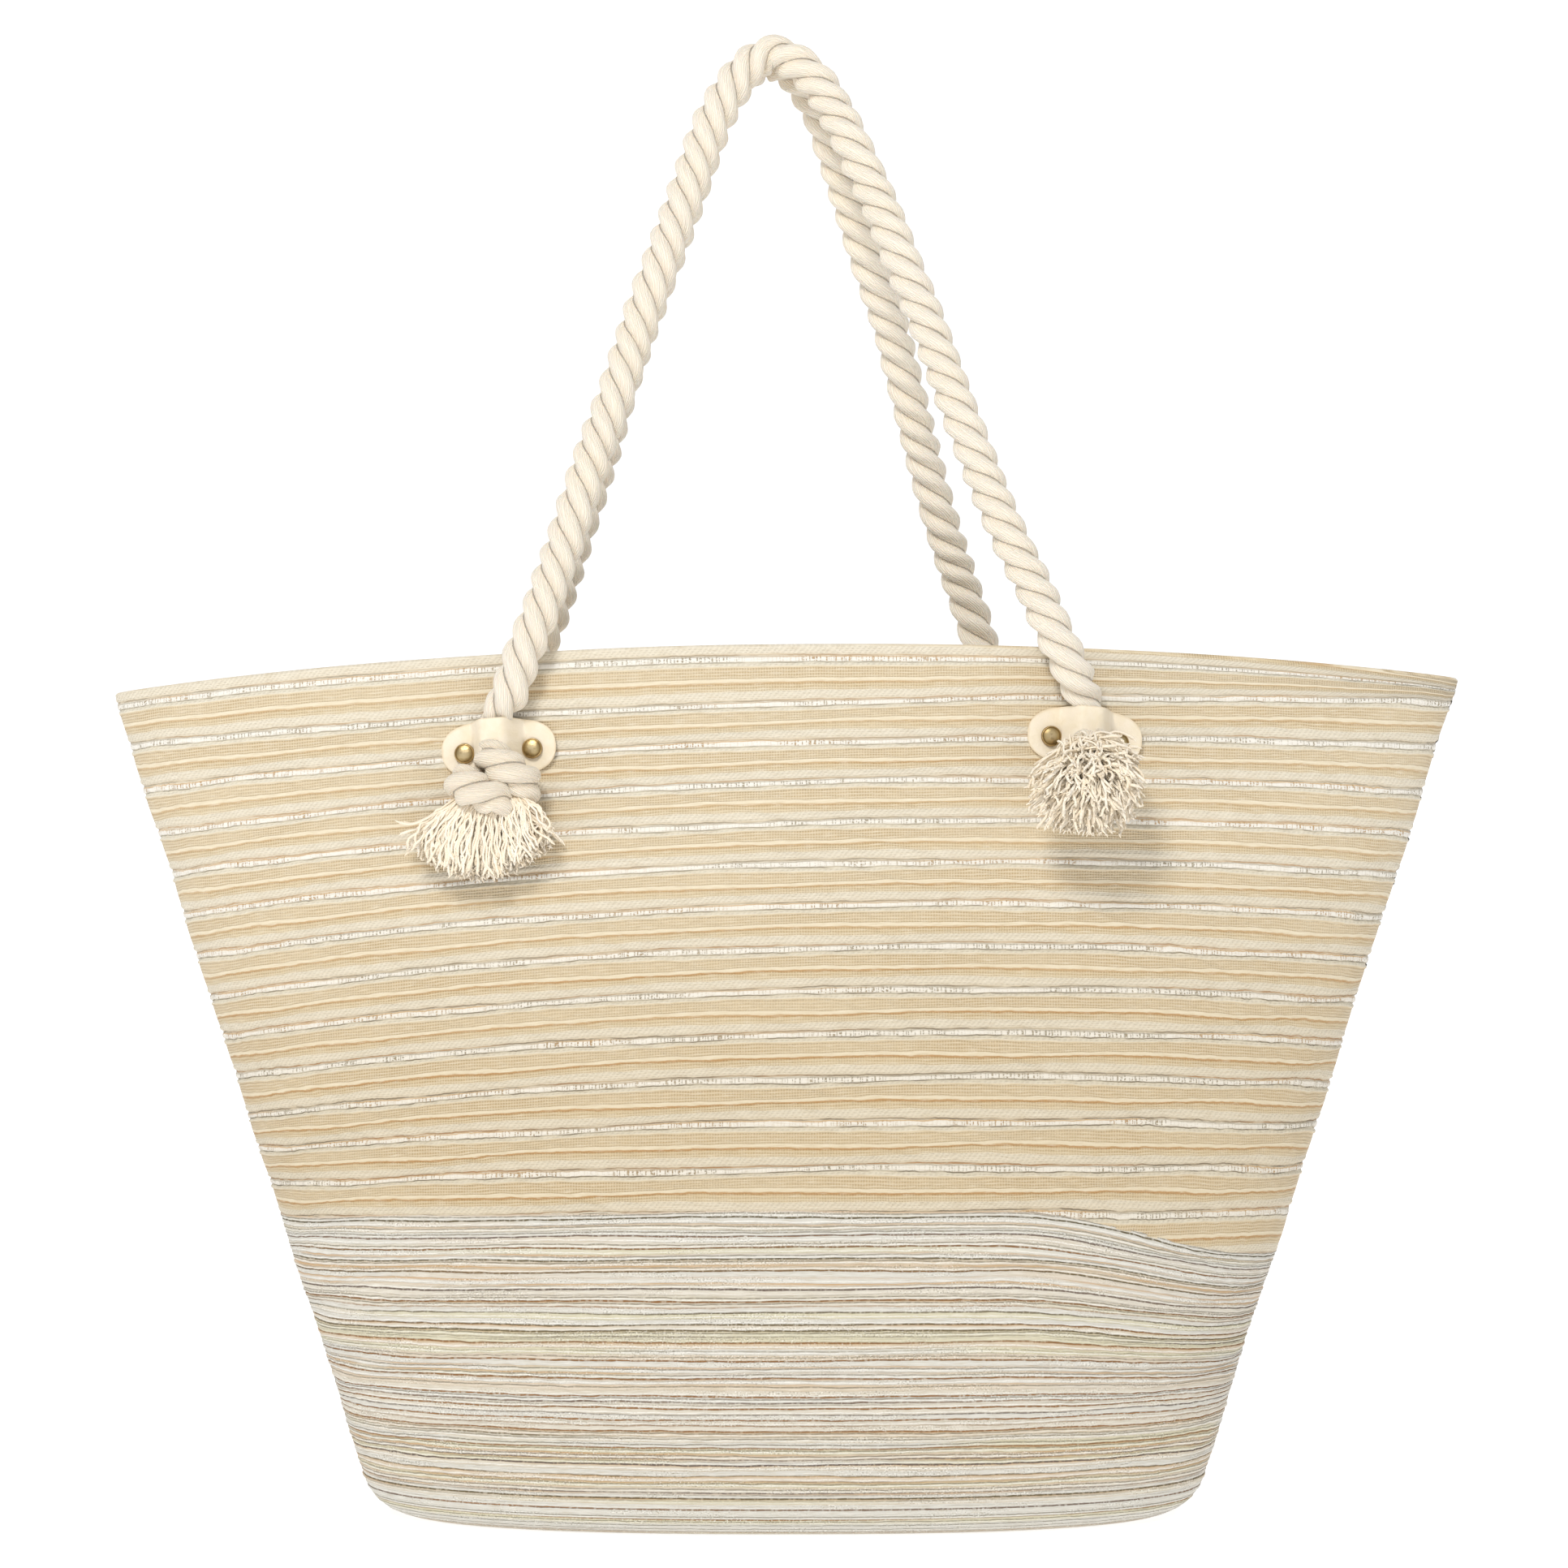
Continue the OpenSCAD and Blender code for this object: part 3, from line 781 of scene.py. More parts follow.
def on_wall(place, points):
    """Takes (along, outward, up) on a patch's part of the wall to the bag's frame."""
    side, x, z, roll = PLACES[place]
    flip = turn_about(2, math.pi) if side == BACK else np.eye(3)
    x = -x if side == BACK else x
    yaw = math.atan((wall_depth(x - 1, z) - wall_depth(x + 1, z)) / 2)
    pitch = -math.atan((wall_depth(x, z - 1) - wall_depth(x, z + 1)) / 2)
    turned = flip @ turn_about(2, yaw) @ turn_about(0, pitch) @ turn_about(1, math.radians(roll))
    origin = flip @ np.array([x, -float(wall_depth(x, z)), z])
    local = np.asarray(points, float) * [1.0, -1.0, 1.0]
    return origin + local @ turned.T


# ---- Leather patches and rivets --------------------------------------------------------

PATCH_W = 44.6
PATCH_H = 22.0
LEATHER_T = 1.8
# How far the leather lies off the wall beside the rope, and how far it arches out over it
LEATHER_GAP = 0.3
ARCH_H = 12.4
RIVET_GAP = 26.5
RIVET_V = -1.0
# The pads' low and high edges, and where their outer and inner faces lie behind the wall's
PAD_EDGES = (-8.0, 6.0)
PAD_FACES = (-5.2, -6.2)


def make_patch(place, seed):
    """A soft leather patch that arches over the rope, with a slit below it."""
    wide, tall = 76, 26
    spread = np.sin(np.linspace(-np.pi / 2, np.pi / 2, wide) * 0.995)
    u = (PATCH_W / 2 * spread)[None, :]
    edge = PATCH_H / 2 * (1 - np.abs(u / (PATCH_W / 2)) ** 3.2) ** (1 / 2.3)
    slit = smooth((11.0 - np.abs(u)) / 4.0)
    low = -edge * (1 - slit) - 3.4 * slit
    part = np.linspace(0.0, 1.0, tall)[:, None]
    v = edge + (low - edge) * part
    arch = smooth((10.4 - np.abs(u)) / 7.2)
    relax = 1 - 0.25 * smooth((np.abs(v) - 7.0) / 5.0)
    puff = 0.35 * wander(u + 0.5 * v, seed, 16.0) * smooth((np.abs(u) - 9.0) / 5.0)
    n = LEATHER_GAP + LEATHER_T / 2 + ARCH_H * arch + puff * relax
    points = grid_points(u, n, v)
    margin = np.minimum(np.minimum(part, 1 - part) * 2 * edge, PATCH_W / 2 - np.abs(u))
    obj = add_mesh(place + "_leather", on_wall(place, points.reshape(-1, 3)),
                   grid_faces(tall, wide),
                   {"margin": margin, "across": points[..., 0], "upward": points[..., 2]})
    thicken(obj, 0.9 * LEATHER_T, offset=0.0)
    bevel = obj.modifiers.new("soft_edge", "BEVEL")
    bevel.width = 0.5 * MM
    bevel.segments = 3
    bevel.limit_method = "ANGLE"
    bevel.angle_limit = math.radians(50)
    return apply_modifiers(obj)


def make_rivet_caps():
    """Eight round caps with a low dome inside a raised rim, and their posts."""
    profile = [
        (0.0, 1.95), (0.8, 1.93), (1.7, 1.84), (2.4, 1.70), (3.0, 1.50), (3.25, 1.40), (3.38, 1.42),
        (3.55, 1.44), (3.75, 1.32), (3.92, 1.02), (3.98, 0.6), (3.96, 0.15), (3.7, 0.0),
        (1.4, 0.0), (1.4, -9.0),
    ]
    sides = 40
    base_n = LEATHER_GAP + LEATHER_T + 0.3
    angles = np.arange(sides) * 2 * np.pi / sides
    points, faces, radii, heights = [], [], [], []
    for place in PLACES:
        for u in (-RIVET_GAP / 2, RIVET_GAP / 2):
            ring = [np.stack([u + r * np.cos(angles), np.full(sides, base_n + n),
                              RIVET_V + r * np.sin(angles)], axis=-1) for r, n in profile]
            start = sum(len(p) for p in points)
            faces += grid_faces(len(profile), sides, closed_columns=True, start=start)
            points.append(on_wall(place, np.concatenate(ring)))
            radii += [r for r, _ in profile for _ in angles]
            heights += [n for _, n in profile for _ in angles]
    return add_mesh("rivet_caps_turned", np.concatenate(points), faces,
                    {"radius": radii, "rise": heights})


def make_backing_pads():
    """Short lengths of webbing under the rivet backs, inside the mouth."""
    points, faces = [], []
    wide, tall = 40, 14
    for place in PLACES:
        u = np.linspace(-PATCH_W / 2 + 3, PATCH_W / 2 - 3, wide)[None, :]
        v = np.linspace(*PAD_EDGES, tall)[:, None]
        edge = 0.3 * (1 - smooth(np.minimum(v - PAD_EDGES[0], PAD_EDGES[1] - v) / 1.5))
        ribs = 0.07 * np.sin(u * 2 * np.pi / 1.6)
        outer = grid_points(u, PAD_FACES[0] - edge, v)
        inner = grid_points(u, PAD_FACES[1] + edge + ribs, v)
        grid = np.concatenate([outer, inner[::-1]])
        start = sum(len(p) for p in points)
        faces += grid_faces(len(grid), wide, closed_rows=True, start=start)
        points.append(on_wall(place, grid.reshape(-1, 3)))
    return add_mesh("webbing_pads", np.concatenate(points), faces)


# ---- Twisted rope ----------------------------------------------------------------------

# Radius of the free rope, of its ends where the leather squeezes them, and of the rope in a knot
ROPE_R = 7.6
TAIL_R = 5.9
KNOT_R = 7.4
# Length of rope in which a strand goes round once
LAY = 31.0
KNOT_LAY = 26.0
STRANDS = 3
# A strand's centre and radius, as parts of the rope's radius
STRAND_OFF = 0.515
STRAND_R = 0.505
# How deep the soft strands let the grooves between them go
GROOVE_R = 0.68
STRAND_POINTS = 13
# How close the soft turns of a knot lie, as a part of their own thickness
KNOT_SQUEEZE = 0.83


def strand_outline():
    """Radius, turn and turn within its strand for the points round a rope."""
    local = np.radians(np.linspace(-60, 60, STRAND_POINTS)[:-1])
    local = np.sign(local) * np.abs(local / (np.pi / 3)) ** 0.85 * np.pi / 3
    reach = STRAND_OFF * np.cos(local) + np.sqrt(
        np.maximum(STRAND_R**2 - (STRAND_OFF * np.sin(local)) ** 2, 0.0))
    reach = (reach**6 + GROOVE_R**6) ** (1 / 6)
    turns = np.concatenate([local + k * 2 * np.pi / STRANDS for k in range(STRANDS)])
    return np.tile(reach, STRANDS), turns, np.tile(local, STRANDS)


def rope_mesh(name, path, radius, lay=LAY, start_turn=0.0, seed=1):
    """A rope of three strands twisted left-handed along a path. radius may vary along it."""
    radius = np.broadcast_to(radius, len(path))
    reach, turns, local = strand_outline()
    run = distance_along(path)
    twist = start_turn - 2 * np.pi * (run + 0.9 * wander(run, seed, 55.0)) / lay
    angle = turns + twist[:, None]
    plump = 1 + 0.022 * wander(run[:, None] + 24.0 * np.round(turns), seed + 1, 17.0)
    points = ring_points(path, angle, radius[:, None] * reach * plump)
    faces = grid_faces(len(path), len(turns), closed_columns=True)
    faces.append(list(range(len(turns)))[::-1])
    faces.append(end_cap(len(path), len(turns)))
    yarn = ROPE_R * (local + 0.55 * twist[:, None])
    # Where the grooves between strands get their painted shade
    groove_shade = np.broadcast_to(1 - smooth((reach - GROOVE_R) / 0.22), angle.shape)
    return add_mesh(name, points.reshape(-1, 3), faces, {
        "yarn": yarn, "run": np.broadcast_to(run[:, None], yarn.shape), "groove_shade": groove_shade})


# The ropes' centres above their patches, from the left end to the right: x, y and z
FRONT_ROUTE = [
    (-105.4, -54, 322.5), (-100, -54, 338), (-93, -52.5, 356), (-82, -47, 389),
    (-74, -42, 415), (-65, -37, 440), (-57, -32, 466), (-48, -27, 492),
    (-39, -21, 518), (-30, -15, 545), (-22, -11, 561), (-14, -9, 571),
    (-5, -8, 576), (5, -9, 572), (14, -11, 563), (21, -13, 551),
    (28, -17, 536), (36, -21, 518), (46, -27, 492), (56, -32, 466),
    (65, -37, 440), (74, -42, 415), (84, -47, 389), (97, -52, 361),
    (106, -54, 341), (112, -54, 328),
]
BACK_ROUTE = [
    (-107.7, 54, 323), (-102, 54, 340), (-94, 52, 361), (-84, 46, 392),
    (-75, 41, 420), (-67, 36, 447), (-58, 31, 473), (-48, 26, 499),
    (-38, 20, 525), (-29, 15, 550), (-22, 11, 563), (-15, 9, 572),
    (-7, 8, 576), (2, 9, 573), (10, 11, 564), (16, 14, 553),
    (24, 19, 530), (34, 26, 499), (43, 31, 473), (50, 36, 447),
    (57, 41, 420), (65, 46, 392), (75, 52, 363), (82, 54, 341),
    (87.3, 54, 326),
]
# How a rope's centre runs out of its knot and under its patch: along, outward and up
TAIL = [(0.0, 8.6, -3.0), (0.0, 6.6, 2.0), (0.0, 6.3, 7.0), (0.0, 6.3, 11.0)]
# Each end of a rope gets thicker over SWELL_LENGTH, from TAIL_LENGTH on
TAIL_LENGTH = 12.0
SWELL_LENGTH = 16.0
# Height above its patch over which a rope would bend as its handle swings; make_handle works it out,
# but nothing uses it to bend the rope
BEND_LENGTH = 30.0


def make_handle(name, route, left, right, seed):
    """One whole handle rope, with the two squeezed tails under its patches."""
    start = on_wall(left, TAIL)
    end = on_wall(right, TAIL)[::-1]
    path = even_path(np.concatenate([start, np.asarray(route, float), end]), 1.25)
    run = distance_along(path)
    from_end = np.minimum(run, run[-1] - run)
    radius = TAIL_R + (ROPE_R - TAIL_R) * smooth((from_end - TAIL_LENGTH) / SWELL_LENGTH)
    rope = rope_mesh(name + "_rope", path, radius, start_turn=1.1 * seed, seed=60 + seed)
    bend_start = min(start[-1][2], end[0][2])
    node = name + "_handle"
    tails = [left + "_tail", right + "_tail"]
    finish_piece(rope, ROPE_MATERIAL, [node] + tails, body=None)
    bend_start * MM
    (bend_start + BEND_LENGTH) * MM
    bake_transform(rope)
    tuple(start[-1] * MM)
    return rope


# ---- Knots -----------------------------------------------------------------------------

# An overhand knot's centreline below a patch: along, outward and up
KNOT_ROUTE = [
    (0.0, 6.3, 6.0), (-0.4, 7.4, 0.0), (-1.4, 12.0, -4.8), (1.6, 17.2, -7.6), (7.2, 17.6, -10.2),
    (11.4, 13.4, -14.2), (11.0, 8.2, -17.4), (5.6, 7.2, -17.8), (-3.0, 7.2, -15.0),
    (-10.6, 7.6, -12.4), (-13.6, 12.4, -12.6), (-12.0, 18.2, -14.6), (-7.6, 20.8, -16.8),
    (-2.4, 19.8, -18.6), (1.6, 15.6, -19.8), (2.6, 12.2, -22.4), (1.0, 11.6, -26.6),
]


def settle_knot(path, thickness, rounds=160):
    """Pushes the turns of a knot apart, so that they lie on each other and less in each other."""
    path = path.copy()
    home = path.copy()
    step = np.linalg.norm(np.diff(path, axis=0), axis=1).mean()
    first, second = np.triu_indices(len(path), int(round(1.75 * thickness / step)))
    for _ in range(rounds):
        between = path[second] - path[first]
        gap = np.linalg.norm(between, axis=1)
        near = gap < thickness
        push = (0.35 * (thickness - gap[near]) / gap[near])[:, None] * between[near]
        np.add.at(path, first[near], -push)
        np.add.at(path, second[near], push)
        path[1:-1] += 0.22 * (0.5 * (path[2:] + path[:-2]) - path[1:-1])
        path += 0.02 * (home - path)
        path[[0, -1]] = home[[0, -1]]
    return path


def make_knot(place, mirrored, seed):
    """A knot in the rope below a patch, squeezed at both of its ends."""
    step = 0.8
    flip = [-1.0 if mirrored else 1.0, 1.0, 1.0]
    local = settle_knot(even_path(np.array(KNOT_ROUTE) * flip, 1.5), 2 * KNOT_R * KNOT_SQUEEZE)
    path = even_path(on_wall(place, local), step)
    run = np.arange(len(path)) * step
    radius = TAIL_R + (KNOT_R - TAIL_R) * smooth((run - 4.0) / 7.0)
    radius = radius * (1 - 0.2 * smooth((run - run[-1] + 8.0) / 8.0))
    rope = rope_mesh(place + "_knot_rope", path, radius, lay=KNOT_LAY, start_turn=seed, seed=70 + seed)
    # The knot's rope is a darker copy of the handle rope; the darker tone is painted shade
    return finish_piece(rope, SHADED_KNOT_ROPE, [place + "_knot"])


# ---- Tassels ---------------------------------------------------------------------------

# The yarns of one tassel, and the sides and rings of each
YARNS = 640
YARN_SIDES = 5
YARN_STEPS = 15
# How far each hanging tassel leans along the wall
TASSEL_SHIFT = {"front_left": -7.0, "front_right": 0.0, "back_left": 3.0, "back_right": -3.0}


def yarn_tube(path, radius):
    """Points and faces of one thin yarn."""
    angles = np.arange(YARN_SIDES) * 2 * np.pi / YARN_SIDES
    points = ring_points(path, angles, radius[:, None])
    faces = grid_faces(len(path), YARN_SIDES, closed_columns=True)
    faces.append(end_cap(len(path), YARN_SIDES))
    return points.reshape(-1, 3), faces


def curl(path, rng, size, length):
    """Adds the waves that a yarn keeps from having been twisted in a rope."""
    run = distance_along(path)
    grow = smooth(run / 8.0)
    phase = rng.uniform(0, 2 * np.pi, 3)
    turns = 2 * np.pi * run / length
    waves = np.stack([np.sin(turns + phase[0]), 0.7 * np.sin(turns * 0.83 + phase[1]),
                      0.5 * np.sin(turns * 1.21 + phase[2])], axis=1)
    return path + waves * (grow * size)[:, None]


def bezier(corners, steps):
    """Points on the curve that two ends and two corners between them pull into shape."""
    t = np.linspace(0.0, 1.0, steps)[:, None]
    a, b, c, d = (np.asarray(p, float) for p in corners)
    return (1 - t) ** 3 * a + 3 * (1 - t) ** 2 * t * b + 3 * (1 - t) * t**2 * c + t**3 * d


def hanging_yarns(rng, shift):
    """Centrelines of the yarns of a tassel that fans out below its knot."""
    paths = []
    for _ in range(YARNS):
        fan = np.clip(rng.uniform(-1.0, 1.0) + 0.10 * rng.standard_normal(), -1.08, 1.08)
        layer = rng.random() ** 0.7
        start = [shift * 0.5 + 12.0 * fan, 8.0 + 7.0 * layer, -21.0 + 2.0 * rng.random()]
        low = -50.0 + 12.0 * fan**2 + 11.0 * layer * rng.random()
        end = [shift + 25.0 * fan + rng.normal(0, 1.8), 2.6 + 15.0 * layer, low]
        bend = [start[0] + 6.5 * fan, start[1] + 6.0 * layer, -23.5]
        lead = [shift + 22.0 * fan + rng.normal(0, 3.0), end[1] + 3.0 * layer, -32.0 + 2.0 * fan**2]
        paths.append(bezier([start, bend, lead, end], YARN_STEPS))
    return paths


def sprayed_yarns(rng):
    """Centrelines of the yarns of a tassel that is flipped up and sprays forwards."""
    paths = []
    for _ in range(YARNS):
        around = rng.uniform(0, 2 * np.pi)
        tilt = math.acos(1 - 1.02 * rng.random())
        direction = unit(np.array([math.sin(tilt) * math.cos(around), math.cos(tilt) * 0.8,
                                   math.sin(tilt) * math.sin(around) - 0.25]))
        root = np.array([0.0, 12.5, -27.0]) + 2.2 * rng.standard_normal(3) * [1, 0.5, 0.5]
        neck = np.array([-3.0, 25.0, -13.0]) + 2.6 * rng.standard_normal(3) * [1.4, 0.4, 1.0]
        reach = rng.uniform(17.0, 24.0) * (1.0 if direction[2] < 0.2 else 0.82)
        tip = np.array([-3.5, 26.0, -12.5]) + direction * reach
        tip[0] += 10.0 * max(direction[2], 0.0)
        tip[2] -= 4.0 * smooth(tilt / 1.2) + 5.0 * rng.random()
        tip[1] = np.clip(tip[1], 17.0, 41.0)
        tip[2] = np.clip(tip[2], -38.5, 8.5)
        first = bezier([root, root + [0, 6.0, -3.0], neck + [0, 1.0, -9.0], neck], 6)[:-1]
        lead = neck + direction * reach * 0.6 + [0.0, 2.5, 2.5]
        paths.append(np.concatenate([
            first, bezier([neck, neck + [0, 3.0, 4.0], lead, tip], YARN_STEPS)]))
    return paths


def tassel_core(shift, flipped):
    """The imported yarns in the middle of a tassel, as one closed lump of rings."""
    turns = np.linspace(0.0, 2 * np.pi, 24, endpoint=False)
    down = np.linspace(0.0, 1.0, 12)[:, None]
    if flipped:
        swell = 7.0 * np.sqrt(np.clip(1 - (2 * down - 1) ** 2, 0.0, 1.0))
        along = swell * np.cos(turns) - 3.0
        outward = 26.5 + 0.7 * swell * np.sin(turns)
        up = np.broadcast_to(-6.0 - 15.0 * down, along.shape)
    else:
        swell = np.sqrt(1 - np.clip(2 * down - 1, -0.99, 0.99) ** 8)
        along = shift * (0.5 + 0.5 * down) + (8.0 + 12.5 * down) * swell * np.cos(turns)
        outward = 9.2 + (3.2 + 2.8 * down) * swell * np.sin(turns)
        up = np.broadcast_to(-20.0 - 25.0 * down, along.shape) + 7.0 * down * np.cos(turns) ** 2
    return np.stack([along, outward, up], axis=-1)


def make_tassel(place, shift, seed, flipped=False):
    """Loose yarns, each wavy and frayed at its tip, gathered in one piece."""
    rng = np.random.default_rng(seed)
    paths = sprayed_yarns(rng) if flipped else hanging_yarns(rng, shift)
    points, faces, tone, along = [], [], [], []
    total = 0

    def add(path, radius, shade, part):
        nonlocal total
        p, f = yarn_tube(on_wall(place, path), radius)
        points.append(p)
        faces.extend([[k + total for k in face] for face in f])
        tone.extend([shade] * len(p))
        along.extend(np.repeat(part, YARN_SIDES))
        total += len(p)

    core = tassel_core(shift, flipped)
    points.append(on_wall(place, core.reshape(-1, 3)))
    faces.extend(grid_faces(*core.shape[:2], closed_columns=True))
    total = core.shape[0] * core.shape[1]
    tone.extend([0.8] * total)
    along.extend([0.3] * total)

    for path in paths:
        path = curl(path, rng, rng.uniform(0.3, 1.0), rng.uniform(7.0, 14.0))
        part = np.linspace(0.0, 1.0, len(path))
        radius = rng.uniform(0.38, 0.52) * (1 + 0.3 * smooth((part - 0.86) / 0.12))
        shade = rng.random()
        add(path, radius, shade, part)
        direction = unit(path[-1] - path[-3])
        away = unit(direction + 0.35 * rng.standard_normal(3))
        length = rng.uniform(0.8, 2.0)
        fibre = path[-1] + np.outer(np.linspace(-0.3, 1.0, 4), away) * length
        add(fibre, np.array([0.42, 0.34, 0.26, 0.14]), shade, np.linspace(0.97, 1.0, 4))
    obj = add_mesh(place + "_yarns", np.concatenate(points), faces,
                   {"tone": tone, "part": along})
    node = place + "_tassel"
    finish_piece(obj, YARN_MATERIAL, [node], body=None)
    ends = [(0.0, 14.0, -24.0), (0.0, 23.0, -24.0)] if flipped else [
        (0.0, 12.0, -25.0), (0.0, 12.0, -32.5)]
    start, end = (tuple(float(c) for c in p) for p in on_wall(place, ends) * MM)
    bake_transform(obj)
    return obj


# ---- Materials -------------------------------------------------------------------------

# Rough length of strip in one turn round the bag
STRIP_TURN = 1100.0


def strip_places(s):
    """The row number, the part of the row, and the place along the wound strip."""
    row = s.number("row")
    number = s.math("FLOOR", row)
    part = row - number
    turns = number + s.number("turn")
    return number, part, turns * STRIP_TURN


def streaks(s, along, number, length, seed):
    """Noise that changes along a row, in patches about length long, and from row to row."""
    return s.noise(s.vector(s.math("DIVIDE", along, length), number * 7.31, seed))


def waves(s, value, period):
    """A wave from 0 to 1 that repeats once per period."""
    return s.math("SINE", value * (2 * math.pi / period)).times_plus(0.5, 0.5)


def band(s, part, middle, half, soft):
    """1 within half of the middle, falling to 0 over soft."""
    return s.rescale(s.math("ABSOLUTE", part - middle), half, half + soft, 1.0, 0.0)


# Colours across one wide row, from its ribbon to the next one. The darker stops at 0.155 and from 0.965
# on are painted shade in the grooves between cords
WIDE_COLOURS = [
    (0.000, colour(220, 213, 197)), (0.130, colour(220, 213, 197)),
    (0.155, colour(212, 203, 183)), (0.175, colour(226, 219, 201)),
    (0.225, colour(225, 217, 198)), (0.250, colour(219, 202, 171)),
    (0.485, colour(219, 203, 173)), (0.510, colour(227, 215, 190)),
    (0.560, colour(226, 213, 186)), (0.590, colour(214, 193, 157)),
    (0.640, colour(216, 197, 162)), (0.690, colour(218, 201, 168)),
    (0.760, colour(220, 205, 176)), (0.790, colour(225, 216, 197)),
    (0.940, colour(224, 214, 194)), (0.965, colour(214, 200, 175)),
    (1.000, colour(214, 202, 180)),
]
# Millimetres from one thread to the next in the open weave, in the ribbon and in the cords
CHECK_PITCH = 1.05
TICK_PITCH = 1.45
PLAIT_PITCH = 2.1


def wide_strip_material():
    """Woven straw with a shiny ribbon, cream cords and a fine check of tan threads."""
    s = Shader("woven_straw_wide", 0.72, sheen=0.12)
    number, part, along = strip_places(s)
    run = s.number("run")

    def patches(length, seed, low, high, to_low=0.0, to_high=1.0):
        """Soft patches along each row."""
        return s.rescale(streaks(s, along, number, length, seed), low, high, to_low, to_high)

    part = (streaks(s, along, number, 26.0, 1.0) - 0.5).times_plus(0.05, part)
    wiggle = streaks(s, along, number, 2.6, 5.0) - 0.5
    wavy_part = wiggle.times_plus(0.045, part)
    shade = s.ramp(wiggle.times_plus(0.012, part), WIDE_COLOURS)
    lower = s.rescale(number, 2.0, 11.0)
    warm = patches(140.0, 8.0, 0.46, 0.56)

    # The open weave and the two tan lines in it
    threads = waves(s, part, CHECK_PITCH / ROW_PITCH)
    check = waves(s, run, CHECK_PITCH) * threads
    open_weave = band(s, part, 0.37, 0.11, 0.02) + band(s, part, 0.67, 0.08, 0.02)
    depth = threads.times_plus(0.35, check) * open_weave
    faded = patches(60.0, 2.0, 0.35, 0.65, 0.28, 0.62)
    shade = s.mix(depth * faded, shade, colour(184, 154, 108))
    tan = lower.times_plus(0.45, streaks(s, along, number, 120.0, 3.0))
    tan = band(s, wavy_part, 0.600, 0.010, 0.026) * s.rescale(tan, 0.42, 0.95, 0.30, 0.85)
    shade = s.mix(tan, shade, colour(182, 138, 84))
    fine = band(s, wavy_part, 0.485, 0.004, 0.014) * 0.40
    shade = s.mix(fine, shade, colour(188, 168, 132))

    # The shiny ribbon, its worn ladder of threads and a painted shadow line above it
    ribbon = band(s, part, 0.068, 0.050, 0.018)
    jitter = s.noise(s.vector(run * 0.35, number * 13.7, 1.0))
    ticks = waves(s, jitter.times_plus(5.0, run), TICK_PITCH)
    uneven = s.noise(s.vector(run * 0.9, part * 26.0, number))
    ticks = ticks * s.rescale(uneven, 0.36, 0.58, 0.35, 1.0)
    worn = patches(18.0, 4.0, 0.36, 0.56, 0.25, 1.0)
    rungs = s.rescale(ticks, 0.48, 0.90) * worn * ribbon
    rung_shade = s.mix(warm, colour(146, 134, 108), colour(180, 142, 94))
    shade = s.mix(rungs * 0.85, shade, rung_shade)
    shine = ribbon * (1.0 - rungs)
    shade = s.mix(shine * 0.50, shade, colour(250, 248, 244))
    # Painted shade: a grey line along the top edge of the ribbon
    top = band(s, wavy_part, 0.018, 0.006, 0.016) * 0.75
    top_shadow_colour = s.mix(warm, colour(178, 170, 154), colour(200, 160, 102))
    shade = s.mix(top, shade, top_shadow_colour)

    # The dark line below the ribbon and the one below the whole row: partly a dark thread and a seam,
    # partly painted shade in the grooves there, stronger on the lower rows
    deeper = lower.times_plus(0.35, 0.65)
    thread_and_shade = band(s, wavy_part, 0.146, 0.004, 0.014) * patches(9.0, 6.0, 0.36, 0.56, 0.25, 0.90)
    thread_and_shade = thread_and_shade * deeper
    shade = s.mix(thread_and_shade, shade, colour(118, 108, 90))
    seam_and_shade = band(s, wavy_part, 0.984, 0.006, 0.016) * patches(13.0, 7.0, 0.34, 0.56, 0.30, 0.90)
    seam_and_shade = seam_and_shade * deeper
    shade = s.mix(seam_and_shade, shade, s.mix(warm, colour(124, 112, 94), colour(174, 126, 78)))

    # The plaited cords, the straw's grain and its small tufts
    cord = band(s, part, 0.195, 0.030, 0.015) + band(s, part, 0.870, 0.075, 0.02)
    slanted = part.times_plus(16.0, jitter.times_plus(2.0, run))
    plait = waves(s, slanted, PLAIT_PITCH) * waves(s, part, 0.046) * cord
    shade = s.mix(plait * 0.42, shade, colour(192, 182, 160))
    grain = s.noise(s.vector(run * 0.16, part * 48.0, number))
    shade = s.mix(s.rescale(grain, 0.48, 0.72, 0.0, 0.34), shade, colour(196, 178, 146))
    shade = s.mix(s.rescale(grain, 0.50, 0.30, 0.0, 0.35), shade, colour(238, 230, 212))
    # The lower rows are darkened, partly as painted shade for the light that falls off towards the
    # bottom
    shade = s.mix(lower * 0.6, shade, colour(238, 233, 224), "MULTIPLY")
    tuft = s.noise(s.vector(run * 1.1, part * 22.0, number))
    height = depth.times_plus(-0.7, tuft * 0.5)
    height = height - s.math("MAXIMUM", thread_and_shade, seam_and_shade) * 0.7 - rungs * 0.5 - plait * 0.5
    s.bump(height, 0.35)
    s.put(s.surface.inputs["Roughness"], shine.times_plus(-0.34, 0.76))
    return s.paint(shade)


def thread_lines(s, row, run, along, seed, offset, keep, width):
    """Fine broken threads, one beside each row: where they show, and their row number."""
    wiggle = streaks(s, along, s.math("FLOOR", row), 3.0, seed) - 0.5
    wavy = wiggle.times_plus(0.20, row) + offset
    edge = s.math("ROUND", wavy)
    away = s.math("ABSOLUTE", wavy - edge)
    line = s.rescale(away, 0.35 * width, width, 1.0, 0.0)
    pick = s.random(edge * 3.3 + seed)
    chance = streaks(s, along, edge, 80.0, seed + 5.0).times_plus(0.7, pick)
    present = s.rescale(chance, keep, keep + 0.35, 0.08, 1.0)
    stitch = s.noise(s.vector(run * 0.75, edge * 7.7, seed))
    dashes = s.rescale(stitch, 0.36, 0.50, 0.55, 1.0)
    return line * (present * dashes), edge


